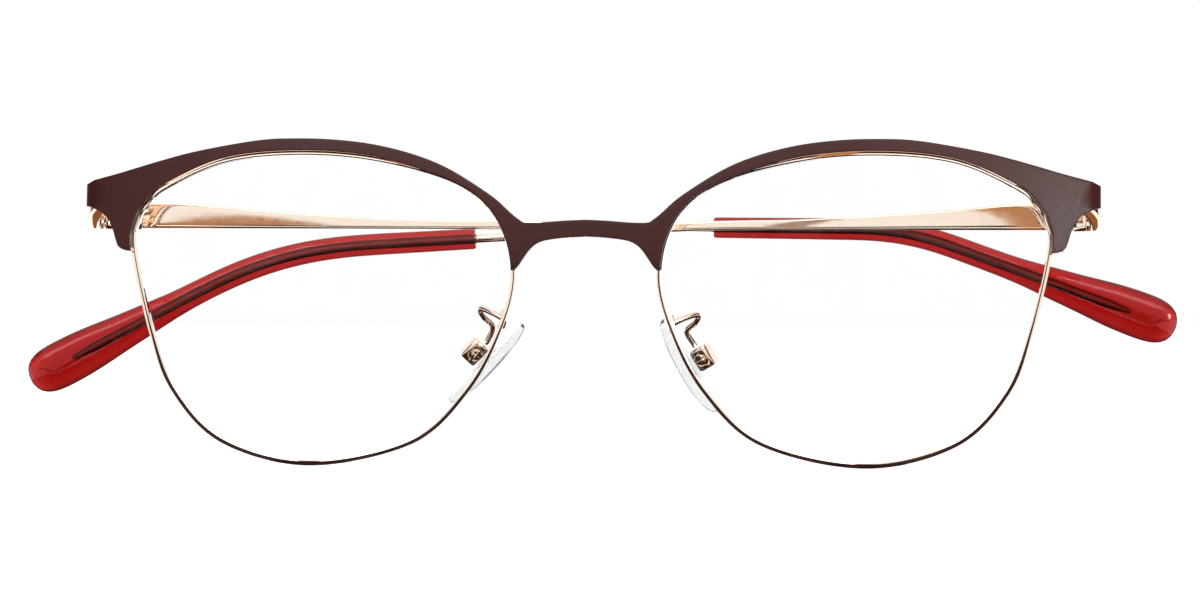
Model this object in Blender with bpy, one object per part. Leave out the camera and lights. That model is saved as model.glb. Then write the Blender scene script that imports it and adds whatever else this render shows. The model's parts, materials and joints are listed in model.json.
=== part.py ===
"""Cat-eye eyeglasses: a painted metal brow bar over two thin wire rims, temples folded.

Metres, +Z up. The glasses stand upright as they are worn and face -Y, so +X is the
wearer's left. The lowest points of the two rims touch z = 0.

The front is drawn flat, as x and z, and then curved: front_depth says how far the
middle surface of the front lies behind its foremost point. Every piece of the front
is laid over that one surface, so neighbours keep their gaps.

Both sides are made by the same functions. A side has a sign, +1 for the wearer's left
and -1 for the right, that mirrors x. Temples are drawn open along their own +Y, with
their origin on the hinge axis, and are then turned to the folded position. Nose pads
are drawn about their screw: own +X away from the nose, own +Y along the screw and own
+Z up the pad.
"""

import math

import bmesh
import bpy
from mathutils import Euler, Matrix, Vector

# Clearances
SEAT_GAP = 0.0003
BORE_GAP = 0.0002
CUT_OVERRUN = 0.001

# Lenses, measured at the point of the edge bevel
LENS_WIDTH = 0.05095
LENS_HEIGHT = 0.0408
LENS_SPACING = 0.0196
LENS_THICKNESS = 0.0013
LENS_BEVEL = 0.0005

# The curve of the whole front
BASE_CURVE_RADIUS = 0.135
FOREMOST_X = 0.0224
BRIDGE_BLEND = 0.008

# Eye wires
RIM_DEPTH = 0.0018
RIM_WALL = 0.0003
RIM_LIP = 0.00015
RIM_GROOVE_WIDTH = 0.0012
RIM_EDGE_ROUND = 0.0002

# Brow bar
BROW_THICKNESS = 0.001
BROW_RIM_COVER = 0.00028
WING_ROLL_WIDTH = 0.0014
WING_ROLL_RADIUS = 0.0012

# Closing blocks that pinch the split rims
LOCK_RISE = 0.0101
LOCK_SLIT = 0.0003
LOCK_WIDTH = 0.0016
LOCK_SETBACK = 0.0004
LOCK_DEPTH = 0.0022
LOCK_HEIGHT = 0.0017
LOCK_SCREW_RADIUS = 0.0003
LOCK_HEAD_RADIUS = 0.00062
LOCK_HEAD_HEIGHT = 0.0003

# End pieces
END_THICKNESS = 0.0011
END_SETBACK = 0.0002
END_OVERHANG = 0.00015
END_CORNER_RADIUS = 0.0022
END_TAIL_LENGTH = 0.0043
END_FRONT_LENGTH = 0.0042
END_FRONT_LOW_RISE = 0.0129
END_FRONT_HEIGHT = 0.0029
END_BUTT_GAP = 0.0002
END_EDGE_ROUND = 0.0007

# Hinges
HINGE_RISE = 0.0123
HINGE_HEIGHT = 0.0035
HINGE_OFFSET = 0.0015
HINGE_BARREL_RADIUS = 0.00115
HINGE_LEAF_THICKNESS = 0.0006
HINGE_LEAF_LENGTH = 0.0038
HINGE_KNUCKLE_HEIGHT = 0.0011
HINGE_SCREW_RADIUS = 0.0005
HINGE_HEAD_RADIUS = 0.00095
HINGE_HEAD_HEIGHT = 0.0004

# Temples: a tapered flat strip that ends in a round core wire
TEMPLE_LENGTH = 0.1458
TEMPLE_ROOT_HEIGHT = 0.0036
TEMPLE_LINE_DROP = 0.001
TEMPLE_THICKNESS = 0.0011
CORE_WIRE_RADIUS = 0.0006
STRIP_LENGTH = 0.0812
DROOP_START = 0.038
DROOP_LENGTH = 0.022
CORE_END_MARGIN = 0.0085
TIP_INWARD_BEND = 0.0025
LEFT_EAR_START = 0.093
LEFT_EAR_LENGTH = 0.03
RIGHT_EAR_START = 0.0985
RIGHT_EAR_LENGTH = 0.018

# Acetate temple tips
TIP_END_HEIGHT = 0.0063
TIP_END_THICKNESS = 0.0026

# Nose pads and their holders
PAD_LENGTH = 0.0142
PAD_WIDTH = 0.0074
PAD_THICKNESS = 0.0016
PAD_OFFSET = 0.00145
PAD_SCREW_X = 0.0151
PAD_SCREW_Y = 0.006
LEFT_PAD_DROP = 0.0065
RIGHT_PAD_DROP = 0.0059
PAD_SPLAY = math.radians(18.0)
PAD_SCREW_RADIUS = 0.00035
PAD_HEAD_RADIUS = 0.00075
PAD_HEAD_HEIGHT = 0.00037
BOX_WALL = 0.00035
BOX_CHEEK = 0.00075
BOX_FRONT_REACH = 0.0009
BOX_EDGE_ROUND = 0.0004
BOX_RECESS_RADIUS = 0.00095
BOX_RECESS_DEPTH = 0.00037
INSERT_THICKNESS = 0.0007
INSERT_TAB_RADIUS = 0.0009
INSERT_FOOT_LENGTH = 0.004
INSERT_FOOT_THICKNESS = 0.0006
PAD_POCKET_DEPTH = 0.0009
ARM_RADIUS = 0.0004
ARM_FOOT_LENGTH = 0.0026
ARM_FOOT_THICKNESS = 0.0004
ARM_ROOT_DROP = 0.0014

SCREW_SLOT_WIDTH = 0.00025
SCREW_SLOT_DEPTH = 0.00018

RIM_STEPS = 64
ROUND_STEPS = 20

# The lens outline from its outer side over the top, in half lens widths and heights
LENS_OUTLINE_SHARES = (
    (1.0, 0.382), (0.957, 0.662), (0.87, 0.765), (0.523, 0.95), (0.122, 1.0), (-0.295, 0.957),
    (-0.705, 0.812), (-0.921, 0.586), (-1.0, 0.23), (-0.929, -0.141), (-0.76, -0.532),
    (-0.472, -0.859), (0.06, -1.0), (0.519, -0.862), (0.781, -0.535), (0.903, -0.143),
)

# The brow bar's top edge from the wing inward, in half lens widths and heights
BROW_TOP_SHARES = (
    (1.226, 0.833), (1.07, 0.883), (0.854, 0.959), (0.643, 1.023), (0.329, 1.088),
    (0.12, 1.099), (-0.089, 1.089), (-0.297, 1.055), (-0.505, 0.988), (-0.683, 0.894),
    (-0.892, 0.729), (-0.995, 0.616),
)

# The wing's outer end and lower edge, down to the lobe that meets the rim
WING_END_SHARES = ((1.272, 0.805), (1.272, 0.662))
WING_LOW_SHARES = (
    (1.242, 0.652), (1.196, 0.622), (1.156, 0.589), (1.119, 0.518), (1.096, 0.443),
    (1.074, 0.401), (1.042, 0.378), (1.01, 0.371),
)

# The bridge's top and bottom edges, in half lens spacings and half lens heights
BRIDGE_TOP_SHARES = ((0.906, 0.576), (0.827, 0.556), (0.606, 0.556), (0.28, 0.568), (0.0, 0.574))
BRIDGE_LOW_SHARES = (
    (0.959, 0.249), (0.906, 0.275), (0.839, 0.323), (0.762, 0.375), (0.671, 0.415),
    (0.541, 0.44), (0.266, 0.458), (0.0, 0.465),
)

# Strip height along the temple, as shares of its length and of its root height
STRIP_HEIGHT_SHARES = (
    (0.0, 1.0), (0.08, 0.99), (0.12, 0.945), (0.185, 0.8), (0.255, 0.675), (0.32, 0.57),
    (0.385, 0.48), (0.45, 0.4), (0.52, 0.36), (1.0, 0.334),
)

# Tip height and thickness along the tip, as shares of its length and of its end sizes
TIP_HEIGHT_SHARES = (
    (0.0, 0.445), (0.3, 0.475), (0.5, 0.5), (0.6, 0.515), (0.66, 0.56), (0.72, 0.67),
    (0.785, 0.79), (0.86, 0.95), (0.92, 1.0), (0.955, 0.96), (0.975, 0.84), (0.99, 0.62),
    (0.998, 0.3),
)
TIP_THICKNESS_SHARES = (
    (0.0, 0.76), (0.5, 0.84), (0.92, 1.0), (0.955, 0.95), (0.975, 0.84), (0.99, 0.62),
    (0.998, 0.3),
)

# The pad arm's route from the rim to the pad box: shares of the way out, back and down
PAD_ARM_SHARES = (
    (0.45, 0.2, -0.22), (1.0, 0.42, -0.42), (1.15, 0.6, -0.34), (0.98, 0.75, -0.05),
    (0.62, 0.88, 0.32),
)

# What differs between the two sides: how far a folded temple leans back, the angle it
# droops by, where its ear bend starts, how long that is and how far it turns, how far the
# pad's screw lies below the lens's middle, and the pad's lean
SIDES = {
    "left": {
        "sign": 1,
        "fold_lean": math.radians(0.0),
        "droop": math.radians(3.4),
        "ear_bend": math.radians(24.5),
        "ear_bend_start": LEFT_EAR_START,
        "ear_bend_length": LEFT_EAR_LENGTH,
        "pad_drop": LEFT_PAD_DROP,
        "pad_lean": math.radians(31.0),
    },
    "right": {
        "sign": -1,
        "fold_lean": math.radians(2.2),
        "droop": math.radians(0.5),
        "ear_bend": math.radians(19.6),
        "ear_bend_start": RIGHT_EAR_START,
        "ear_bend_length": RIGHT_EAR_LENGTH,
        "pad_drop": RIGHT_PAD_DROP,
        "pad_lean": math.radians(44.0),
    },
}

# Places that follow from the sizes
LENS_CENTRE_X = (LENS_SPACING + LENS_WIDTH) / 2
RIM_OUTSET = BORE_GAP + RIM_WALL
LENS_CENTRE_Z = LENS_HEIGHT / 2 + RIM_OUTSET
BROW_BACK = -RIM_DEPTH / 2 - SEAT_GAP
BROW_FRONT = BROW_BACK - BROW_THICKNESS
WING_X = LENS_CENTRE_X + WING_END_SHARES[0][0] * LENS_WIDTH / 2
END_OUTER_X = WING_X + END_OVERHANG
HINGE_X = END_OUTER_X - TEMPLE_THICKNESS - HINGE_OFFSET
HINGE_Z = LENS_CENTRE_Z + HINGE_RISE
LOCK_Z = LENS_CENTRE_Z + LOCK_RISE

COLOURS = {
    "rose_gold": ((0.80, 0.56, 0.42), 0.16, 1.0),
    "burgundy_paint": ((0.060, 0.022, 0.022), 0.42, 0.0),
    "red_acetate": ((0.45, 0.012, 0.014), 0.08, 0.0),
    "clear_lens": ((0.92, 0.95, 0.94), 0.02, 0.0),
    "clear_silicone": ((0.86, 0.88, 0.88), 0.3, 0.0),
}


def clear_scene():
    """Remove what a new Blender file holds."""
    for obj in list(bpy.data.objects):
        bpy.data.objects.remove(obj, do_unlink=True)


def material(name):
    """The named material, made on first use."""
    found = bpy.data.materials.get(name)
    if found:
        return found
    colour, roughness, metallic = COLOURS[name]
    made = bpy.data.materials.new(name)
    made.use_nodes = True
    shader = made.node_tree.nodes["Principled BSDF"]
    shader.inputs["Base Color"].default_value = (*colour, 1.0)
    shader.inputs["Roughness"].default_value = roughness
    shader.inputs["Metallic"].default_value = metallic
    return made


def front_depth(x, z):
    """How far the middle surface of the front lies behind its foremost point."""
    across = math.hypot(x, BRIDGE_BLEND) - FOREMOST_X
    up = z - LENS_CENTRE_Z
    return (across ** 2 + up ** 2) / (2 * BASE_CURVE_RADIUS)


def on_front(x, y, z):
    """A point y behind the middle surface of the front."""
    return Vector((x, y + front_depth(x, z), z))


def curve_point(a, b, c, d, t):
    """A point a share t of the way from b to c, on a smooth curve past a, b, c and d."""
    return (
        b
        + (c - a) * (t / 2)
        + (a * 2 - b * 5 + c * 4 - d) * (t ** 2 / 2)
        + (b * 3 - a - c * 3 + d) * (t ** 3 / 2)
    )


def smooth_curve(points, steps, closed=False):
    """Points on a smooth curve through the given ones, a number of steps for each span."""
    count = len(points)
    if closed:
        ends = [points[-1], *points, points[0], points[1]]
        spans = count
    else:
        ends = [points[0] * 2 - points[1], *points, points[-1] * 2 - points[-2]]
        spans = count - 1
    made = []
    for span in range(spans):
        for step in range(steps):
            made.append(curve_point(*ends[span:span + 4], step / steps))
    if not closed:
        made.append(points[-1])
    return made


def even_points(points, count, closed=False, start=0.0, end=1.0):
    """Points at equal distances along a line, from one share of its length to another."""
    line = [*points, points[0]] if closed else list(points)
    travelled = [0.0]
    for a, b in zip(line, line[1:]):
        travelled.append(travelled[-1] + (b - a).length)
    made = []
    place = 0
    for index in range(count):
        wanted = travelled[-1] * (start + (end - start) * index / (count if closed else count - 1))
        while place < len(line) - 2 and travelled[place + 1] < wanted:
            place += 1
        span = travelled[place + 1] - travelled[place]
        made.append(line[place].lerp(line[place + 1], (wanted - travelled[place]) / span))
    return made


def share_at(table, place):
    """The value of a table of shares at a place between its rows."""
    for (low, low_value), (high, high_value) in zip(table, table[1:]):
        if place <= high:
            part = max(0.0, (place - low) / (high - low))
            return low_value + (high_value - low_value) * part
    return table[-1][1]


def lens_outline():
    """The left lens's outline as even flat points (x, z), from the closing blocks onward."""
    corners = [
        Vector((LENS_CENTRE_X + x * LENS_WIDTH / 2, LENS_CENTRE_Z + z * LENS_HEIGHT / 2))
        for x, z in LENS_OUTLINE_SHARES
    ]
    line = smooth_curve(corners, 24, closed=True)
    outer = [index for index, point in enumerate(line) if point.x > LENS_CENTRE_X]
    first = min(outer, key=lambda index: abs(line[index].y - LOCK_Z))
    return line[first:] + line[:first]


def outward_directions(line, closed):
    """Unit vectors that point out of an outline that runs anticlockwise."""
    count = len(line)
    made = []
    for index in range(count):
        before = line[index - 1] if closed or index else line[0]
        after = line[(index + 1) % count] if closed or index < count - 1 else line[-1]
        along = (after - before).normalized()
        made.append(Vector((along.y, -along.x)))
    return made


def new_object(name, bm, colour, root):
    """Finish a mesh with its normals outward and put it in the scene."""
    bm.normal_update()
    bmesh.ops.recalc_face_normals(bm, faces=bm.faces[:])
    mesh = bpy.data.meshes.new(name)
    bm.to_mesh(mesh)
    bm.free()
    mesh.materials.append(material(colour))
    mesh.shade_smooth()
    mesh.set_sharp_from_angle(angle=math.radians(35))
    obj = bpy.data.objects.new(name, mesh)
    bpy.context.scene.collection.objects.link(obj)
    obj.parent = root
    return obj


def skin(bm, rings, closed=False):
    """Skin a row of point rings. A ring of one point is a pole, and open ends are capped."""
    rows = [[bm.verts.new(point) for point in ring] for ring in rings]
    pairs = list(zip(rows, rows[1:]))
    if closed:
        pairs.append((rows[-1], rows[0]))
    for low, high in pairs:
        count = max(len(low), len(high))
        for index in range(count):
            after = (index + 1) % count
            if len(low) == 1:
                bm.faces.new((low[0], high[index], high[after]))
            elif len(high) == 1:
                bm.faces.new((low[index], low[after], high[0]))
            else:
                bm.faces.new((low[index], low[after], high[after], high[index]))
    if not closed:
        for row in (rows[0], rows[-1]):
            if len(row) > 1:
                bm.faces.new(row)


def loft(name, rings, colour, root, closed=False):
    """An object skinned over rings of points."""
    bm = bmesh.new()
    skin(bm, rings, closed)
    return new_object(name, bm, colour, root)


def prism(bm, outline, hole, low, high):
    """A plate between two heights with a flat outline (x, y), pierced by a hole's outline."""
    loops = [outline, hole] if hole else [outline]
    edges = []
    for loop in loops:
        verts = [bm.verts.new((x, y, low)) for x, y in loop]
        for index, vert in enumerate(verts):
            edges.append(bm.edges.new((vert, verts[(index + 1) % len(verts)])))
    filled = bmesh.ops.triangle_fill(bm, use_beauty=True, use_dissolve=False, edges=edges)
    faces = [item for item in filled["geom"] if isinstance(item, bmesh.types.BMFace)]
    raised = bmesh.ops.extrude_face_region(bm, geom=faces)
    tops = [item for item in raised["geom"] if isinstance(item, bmesh.types.BMVert)]
    bmesh.ops.translate(bm, vec=(0, 0, high - low), verts=tops)


def block(bm, low, high):
    """A box between two corners."""
    made = bmesh.ops.create_cube(bm, size=1)
    size = Vector(high) - Vector(low)
    middle = (Vector(high) + Vector(low)) / 2
    bmesh.ops.scale(bm, vec=size, verts=made["verts"])
    bmesh.ops.translate(bm, vec=middle, verts=made["verts"])


def circle(radius, steps=ROUND_STEPS, start=0.0, turn=math.tau):
    """Points (x, y) on a circle about the origin, or on the arc of a part turn."""
    count = steps if turn == math.tau else steps + 1
    angles = [start + turn * index / steps for index in range(count)]
    return [(radius * math.cos(angle), radius * math.sin(angle)) for angle in angles]


def cut(target, bm, root):
    """Cut a mesh out of an object, with the cutter placed as the object is."""
    number = len(target.modifiers)
    cutter = new_object(f"{target.name}_cutter_{number}", bm, "rose_gold", root)
    cutter.location = target.location
    cutter.rotation_euler = target.rotation_euler
    cutter.hide_render = True
    cutter.display_type = "WIRE"
    boolean = target.modifiers.new(f"cut_{number}", "BOOLEAN")
    boolean.operation = "DIFFERENCE"
    boolean.solver = "EXACT"
    boolean.object = cutter


def make_screw(name, radius, length, head_radius, head_height, root):
    """A slotted screw along its own +Z, with the underside of its head at the origin."""
    profile = [
        (0, -length), (radius, -length), (radius, 0), (head_radius, 0),
        (head_radius, head_height * 0.6), (head_radius * 0.8, head_height), (0, head_height),
    ]
    rings = []
    for reach, height in profile:
        ring = circle(reach, 12) if reach else [(0.0, 0.0)]
        rings.append([Vector((x, y, height)) for x, y in ring])
    screw = loft(name, rings, "rose_gold", root)
    bm = bmesh.new()
    block(
        bm,
        (-head_radius * 2, -SCREW_SLOT_WIDTH / 2, head_height - SCREW_SLOT_DEPTH),
        (head_radius * 2, SCREW_SLOT_WIDTH / 2, head_height + CUT_OVERRUN),
    )
    cut(screw, bm, root)
    return screw


def place_screw(screw, location, rotation):
    """Place a screw and its slot cutter."""
    for obj in (screw, screw.modifiers[0].object):
        obj.location = location
        obj.rotation_euler = rotation


def make_lens(side, root):
    """A curved lens with a pointed edge bevel."""
    sign = SIDES[side]["sign"]
    line = even_points(lens_outline(), RIM_STEPS, closed=True)
    out = outward_directions(line, closed=True)
    centre = Vector((LENS_CENTRE_X, LENS_CENTRE_Z))
    half = LENS_THICKNESS / 2

    def ring(inset, share, y):
        made = []
        for point, direction in zip(line, out):
            flat = centre + (point - direction * inset - centre) * share
            made.append(on_front(sign * flat.x, y, flat.y))
        return made

    face_shares = (0.35, 0.7, 1.0)
    front = [ring(LENS_BEVEL, share, -half) for share in face_shares]
    back = [ring(LENS_BEVEL, share, half) for share in reversed(face_shares)]
    front_pole = [on_front(sign * centre.x, -half, centre.y)]
    back_pole = [on_front(sign * centre.x, half, centre.y)]
    rings = [front_pole, *front, ring(0, 1.0, 0), *back, back_pole]
    return loft(f"lens_{side}", rings, "clear_lens", root)


def make_rim(side, root):
    """An eye wire with a lens groove, split at the closing blocks."""
    sign = SIDES[side]["sign"]
    outline = lens_outline()
    length = sum((b - a).length for a, b in zip(outline, [*outline[1:], outline[0]]))
    half_slit = LOCK_SLIT / 2 / length
    closed_line = [*outline, outline[0]]
    line = even_points(closed_line, RIM_STEPS + 1, start=half_slit, end=1 - half_slit)
    out = outward_directions(line, closed=False)
    half = RIM_DEPTH / 2
    groove = RIM_GROOVE_WIDTH / 2
    section = [
        (RIM_OUTSET, -half + RIM_EDGE_ROUND), (RIM_OUTSET, half), (-RIM_LIP, half),
        (-RIM_LIP, groove), (BORE_GAP, 0), (-RIM_LIP, -groove), (-RIM_LIP, -half),
        (RIM_OUTSET - RIM_EDGE_ROUND, -half),
    ]
    rings = []
    for point, direction in zip(line, out):
        ring = []
        for reach, y in section:
            flat = point + direction * reach
            ring.append(on_front(sign * flat.x, y, flat.y))
        rings.append(ring)
    return loft(f"rim_{side}", rings, "rose_gold", root)


def brow_outline():
    """Half of the brow bar's outline, from the bridge's top round the wing to its bottom."""
    half_width = LENS_WIDTH / 2
    half_height = LENS_HEIGHT / 2

    def eye_points(shares):
        return [
            Vector((LENS_CENTRE_X + x * half_width, LENS_CENTRE_Z + z * half_height))
            for x, z in shares
        ]

    def bridge_points(shares):
        return [
            Vector((x * LENS_SPACING / 2, LENS_CENTRE_Z + z * half_height)) for x, z in shares
        ]

    top = bridge_points(reversed(BRIDGE_TOP_SHARES)) + eye_points(reversed(BROW_TOP_SHARES))
    wing_end = eye_points(WING_END_SHARES)
    wing_low = eye_points(WING_LOW_SHARES)
    bridge_low = bridge_points(BRIDGE_LOW_SHARES)
    line = even_points(lens_outline(), RIM_STEPS * 2, closed=True)
    out = outward_directions(line, closed=True)
    over_lens = []
    for point, direction in zip(line, out):
        edge = point + direction * (RIM_OUTSET - BROW_RIM_COVER)
        end = wing_low[-1] if point.x > LENS_CENTRE_X else bridge_low[0]
        if edge.y > end.y:
            over_lens.append(edge)
    outer_part = [point for point in over_lens if point.x > LENS_CENTRE_X]
    inner_part = [point for point in over_lens if point.x <= LENS_CENTRE_X]
    outer_part.sort(key=lambda point: math.atan2(point.y - LENS_CENTRE_Z, point.x - LENS_CENTRE_X))
    return (
        smooth_curve(top, 2)
        + wing_end
        + smooth_curve(wing_low, 2)
        + outer_part[1::2]
        + inner_part[:-1:2]
        + smooth_curve(bridge_low, 2)
    )


def wing_roll(x):
    """How far the brow bar's outer end rolls back."""
    past = abs(x) - (WING_X - WING_ROLL_WIDTH)
    return max(0.0, past) ** 2 / (2 * WING_ROLL_RADIUS)


def make_brow_bar(root):
    """The one-piece painted plate over both eyes and the bridge."""
    half = brow_outline()
    outline = half + [Vector((-point.x, point.y)) for point in reversed(half[1:-1])]
    bm = bmesh.new()
    prism(bm, [(point.x, point.y) for point in outline], None, BROW_FRONT, BROW_BACK)
    for vert in bm.verts:
        x, z, y = vert.co
        vert.co = on_front(x, y + wing_roll(x), z)
    return new_object("brow_bar", bm, "burgundy_paint", root)


def end_piece_path():
    """The end piece's middle line seen from above, from behind the wing to its butt."""
    lean = BROW_BACK + SEAT_GAP + END_SETBACK + END_THICKNESS / 2
    height = LENS_CENTRE_Z + END_FRONT_LOW_RISE + END_FRONT_HEIGHT / 2

    def behind_wing(x):
        return Vector((x, front_depth(x, height) + lean))

    tail_x = END_OUTER_X - END_THICKNESS / 2
    bend_start_x = tail_x - END_CORNER_RADIUS * 0.7
    start = behind_wing(bend_start_x)
    heading = math.atan2(
        start.y - behind_wing(bend_start_x - END_THICKNESS).y, END_THICKNESS
    )
    radius = (tail_x - start.x) / (1 - math.sin(heading))
    path = [
        behind_wing(bend_start_x - END_FRONT_LENGTH * share) for share in (1.0, 0.75, 0.5, 0.25)
    ]
    steps = 6
    for step in range(steps + 1):
        angle = heading + (math.pi / 2 - heading) * step / steps
        path.append(
            Vector((
                start.x + radius * (math.sin(angle) - math.sin(heading)),
                start.y + radius * (math.cos(heading) - math.cos(angle)),
            ))
        )
    corner_end = path[-1]
    path.append(Vector((tail_x, corner_end.y + END_TAIL_LENGTH / 2)))
    path.append(Vector((tail_x, corner_end.y + END_TAIL_LENGTH)))
    return path


def hinge_y():
    """The depth of the hinge axis, just past the butt of the end piece."""
    return end_piece_path()[-1].y + END_BUTT_GAP


def make_end_piece(side, root):
    """The cast corner that carries the hinge round from the brow bar."""
    sign = SIDES[side]["sign"]
    path = end_piece_path()
    front_low = LENS_CENTRE_Z + END_FRONT_LOW_RISE
    hinge_low = HINGE_Z - HINGE_HEIGHT / 2
    half = END_THICKNESS / 2
    rings = []
    for index, point in enumerate(path):
        before = path[max(index - 1, 0)]
        after = path[min(index + 1, len(path) - 1)]
        along = (after - before).normalized()
        out = Vector((along.y, -along.x))
        turned = max(0.0, min(1.0, (index - 3) / 6))
        low = front_low + (hinge_low - front_low) * turned
        height = END_FRONT_HEIGHT + (HINGE_HEIGHT - END_FRONT_HEIGHT) * turned
        section = [
            (-half, 0), (half - END_EDGE_ROUND, 0), (half, END_EDGE_ROUND * 1.3),
            (half, height - END_EDGE_ROUND * 1.3), (half - END_EDGE_ROUND, height),
            (-half, height),
        ]
        ring = []
        for reach, rise in section:
            flat = point + out * reach
            ring.append(Vector((sign * flat.x, flat.y, low + rise)))
        rings.append(ring)
    return loft(f"end_piece_{side}", rings, "rose_gold", root)


def make_lock_block(side, level, root):
    """One half of the closing block beside the split rim, bored for its screw."""
    sign = SIDES[side]["sign"]
    outer = max(point.x for point in lens_outline()) + RIM_OUTSET
    low_x = outer + BORE_GAP
    middle_x = low_x + LOCK_WIDTH / 2
    if level == "upper":
        low_z = LOCK_Z + LOCK_SLIT / 2
    else:
        low_z = LOCK_Z - LOCK_SLIT / 2 - LOCK_HEIGHT
    front = LOCK_SETBACK - RIM_DEPTH / 2
    outline = [
        (low_x, front), (low_x + LOCK_WIDTH, front),
        (low_x + LOCK_WIDTH, front + LOCK_DEPTH), (low_x, front + LOCK_DEPTH),
    ]
    middle_y = front + LOCK_DEPTH / 2
    hole = [
        (middle_x + x, middle_y + y) for x, y in circle(LOCK_SCREW_RADIUS + BORE_GAP, 12)
    ]
    bm = bmesh.new()
    prism(bm, outline, hole, low_z, low_z + LOCK_HEIGHT)
    base = front_depth(middle_x, LOCK_Z)
    for vert in bm.verts:
        vert.co = Vector((sign * vert.co.x, vert.co.y + base, vert.co.z))
    return new_object(f"rim_lock_{level}_{side}", bm, "rose_gold", root)


def make_lock_screw(side, root):
    """The small screw that pulls the closing block together, put in from below."""
    sign = SIDES[side]["sign"]
    outer = max(point.x for point in lens_outline()) + RIM_OUTSET
    middle_x = outer + BORE_GAP + LOCK_WIDTH / 2
    front = front_depth(middle_x, LOCK_Z) + LOCK_SETBACK - RIM_DEPTH / 2
    middle_y = front + LOCK_DEPTH / 2
    length = LOCK_HEIGHT * 2 + LOCK_SLIT
    screw = make_screw(
        f"rim_lock_screw_{side}", LOCK_SCREW_RADIUS, length, LOCK_HEAD_RADIUS,
        LOCK_HEAD_HEIGHT, root,
    )
    under = LOCK_Z - LOCK_SLIT / 2 - LOCK_HEIGHT - BORE_GAP
    place_screw(screw, (sign * middle_x, middle_y, under), (math.pi, 0, 0))
    return screw


def hinge_leaf_outline(sign):
    """A hinge leaf with its barrel, seen from above, with the leaf along +Y."""
    outer = HINGE_OFFSET - BORE_GAP
    inner = outer - HINGE_LEAF_THICKNESS
    arc = circle(HINGE_BARREL_RADIUS, 14, 0, -math.radians(250))
    outline = [(outer, HINGE_LEAF_LENGTH), (outer, HINGE_BARREL_RADIUS)]
    outline += arc
    outline += [(inner, HINGE_BARREL_RADIUS * 1.3), (inner, HINGE_LEAF_LENGTH)]
    return [(sign * x, y) for x, y in outline]


def hinge_slot(bm, low, high):
    """A cutter that clears the barrel zone between two heights."""
    reach = HINGE_BARREL_RADIUS + BORE_GAP
    block(bm, (-reach - CUT_OVERRUN, -reach - CUT_OVERRUN, low), (HINGE_OFFSET + CUT_OVERRUN, reach, high))


def make_hinge_leaf(side, part, root):
    """Half of a three-barrel hinge: the front leaf has two barrels and the temple's one."""
    sign = SIDES[side]["sign"]
    half = HINGE_HEIGHT / 2
    knuckle = HINGE_KNUCKLE_HEIGHT
    bm = bmesh.new()
    hole = circle(HINGE_SCREW_RADIUS + BORE_GAP, 14)
    prism(bm, hinge_leaf_outline(sign), hole, -half, half)
    if part == "front":
        for vert in bm.verts:
            vert.co.y = -vert.co.y
    leaf = new_object(f"{part}_hinge_{side}", bm, "rose_gold", root)
    leaf.location = (sign * HINGE_X, hinge_y(), HINGE_Z)
    slots = [(-half + knuckle, half - knuckle)]
    if part == "temple":
        inner = half - knuckle - BORE_GAP
        slots = [(-half - CUT_OVERRUN, -inner), (inner, half + CUT_OVERRUN)]
        leaf.rotation_euler = folded_rotation(side)
    for low, high in slots:
        bm = bmesh.new()
        hinge_slot(bm, low, high)
        for vert in bm.verts:
            turned = -1 if part == "front" else 1
            vert.co = Vector((sign * vert.co.x, turned * vert.co.y, vert.co.z))
        cut(leaf, bm, root)
    return leaf


def make_hinge_screw(side, root):
    """The hinge's slotted screw, put in from above."""
    sign = SIDES[side]["sign"]
    screw = make_screw(
        f"hinge_screw_{side}", HINGE_SCREW_RADIUS, HINGE_HEIGHT + BORE_GAP, HINGE_HEAD_RADIUS,
        HINGE_HEAD_HEIGHT, root,
    )
    top = HINGE_Z + HINGE_HEIGHT / 2 + BORE_GAP
    place_screw(screw, (sign * HINGE_X, hinge_y(), top), (0, 0, math.radians(35)))
    return screw


def folded_rotation(side):
    """The turn that takes a temple from straight back to folded."""
    values = SIDES[side]
    return Euler((0, 0, values["sign"] * (math.pi / 2 - values["fold_lean"])))


def eased(place, start, length):
    """A share from 0 to 1 that eases in and out over a stretch."""
    share = max(0.0, min(1.0, (place - start) / length))
    return share ** 2 * (3 - 2 * share)


def temple_frame(side, distance):
    """A point on the temple's core line and its downward angle, at a distance along it."""
    values = SIDES[side]
    steps = 60
    height = -TEMPLE_LINE_DROP
    reach = 0.0
    angle = 0.0
    for step in range(steps):
        travelled = distance * (step + 0.5) / steps
        bend = eased(travelled, values["ear_bend_start"], values["ear_bend_length"])
        droop = eased(travelled, DROOP_START, DROOP_LENGTH)
        angle = values["droop"] * droop + values["ear_bend"] * bend
        reach += math.cos(angle) * distance / steps
        height -= math.sin(angle) * distance / steps
    past = max(0.0, distance - STRIP_LENGTH) / (TEMPLE_LENGTH - STRIP_LENGTH)
    outward = HINGE_OFFSET + TEMPLE_THICKNESS / 2 - TIP_INWARD_BEND * past ** 2
    return Vector((outward, reach, height)), angle


def temple_ring(side, distance, section):
    """A cross-section (outward, up) set square on the temple at a distance."""
    sign = SIDES[side]["sign"]
    middle, angle = temple_frame(side, distance)
    ring = []
    for out, up in section:
        ring.append(
            Vector((
                sign * (middle.x + out),
                middle.y + up * math.sin(angle),
                middle.z + up * math.cos(angle),
            ))
        )
    return ring


def soft_rectangle(half_width, low, high, corner):
    """An eight-sided section between two heights, its corners cut by a share of the width."""
    bite = corner * half_width
    return [
        (half_width, high - bite), (half_width - bite, high), (-half_width + bite, high),
        (-half_width, high - bite), (-half_width, low + bite), (-half_width + bite, low),
        (half_width - bite, low), (half_width, low + bite),
    ]


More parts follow.
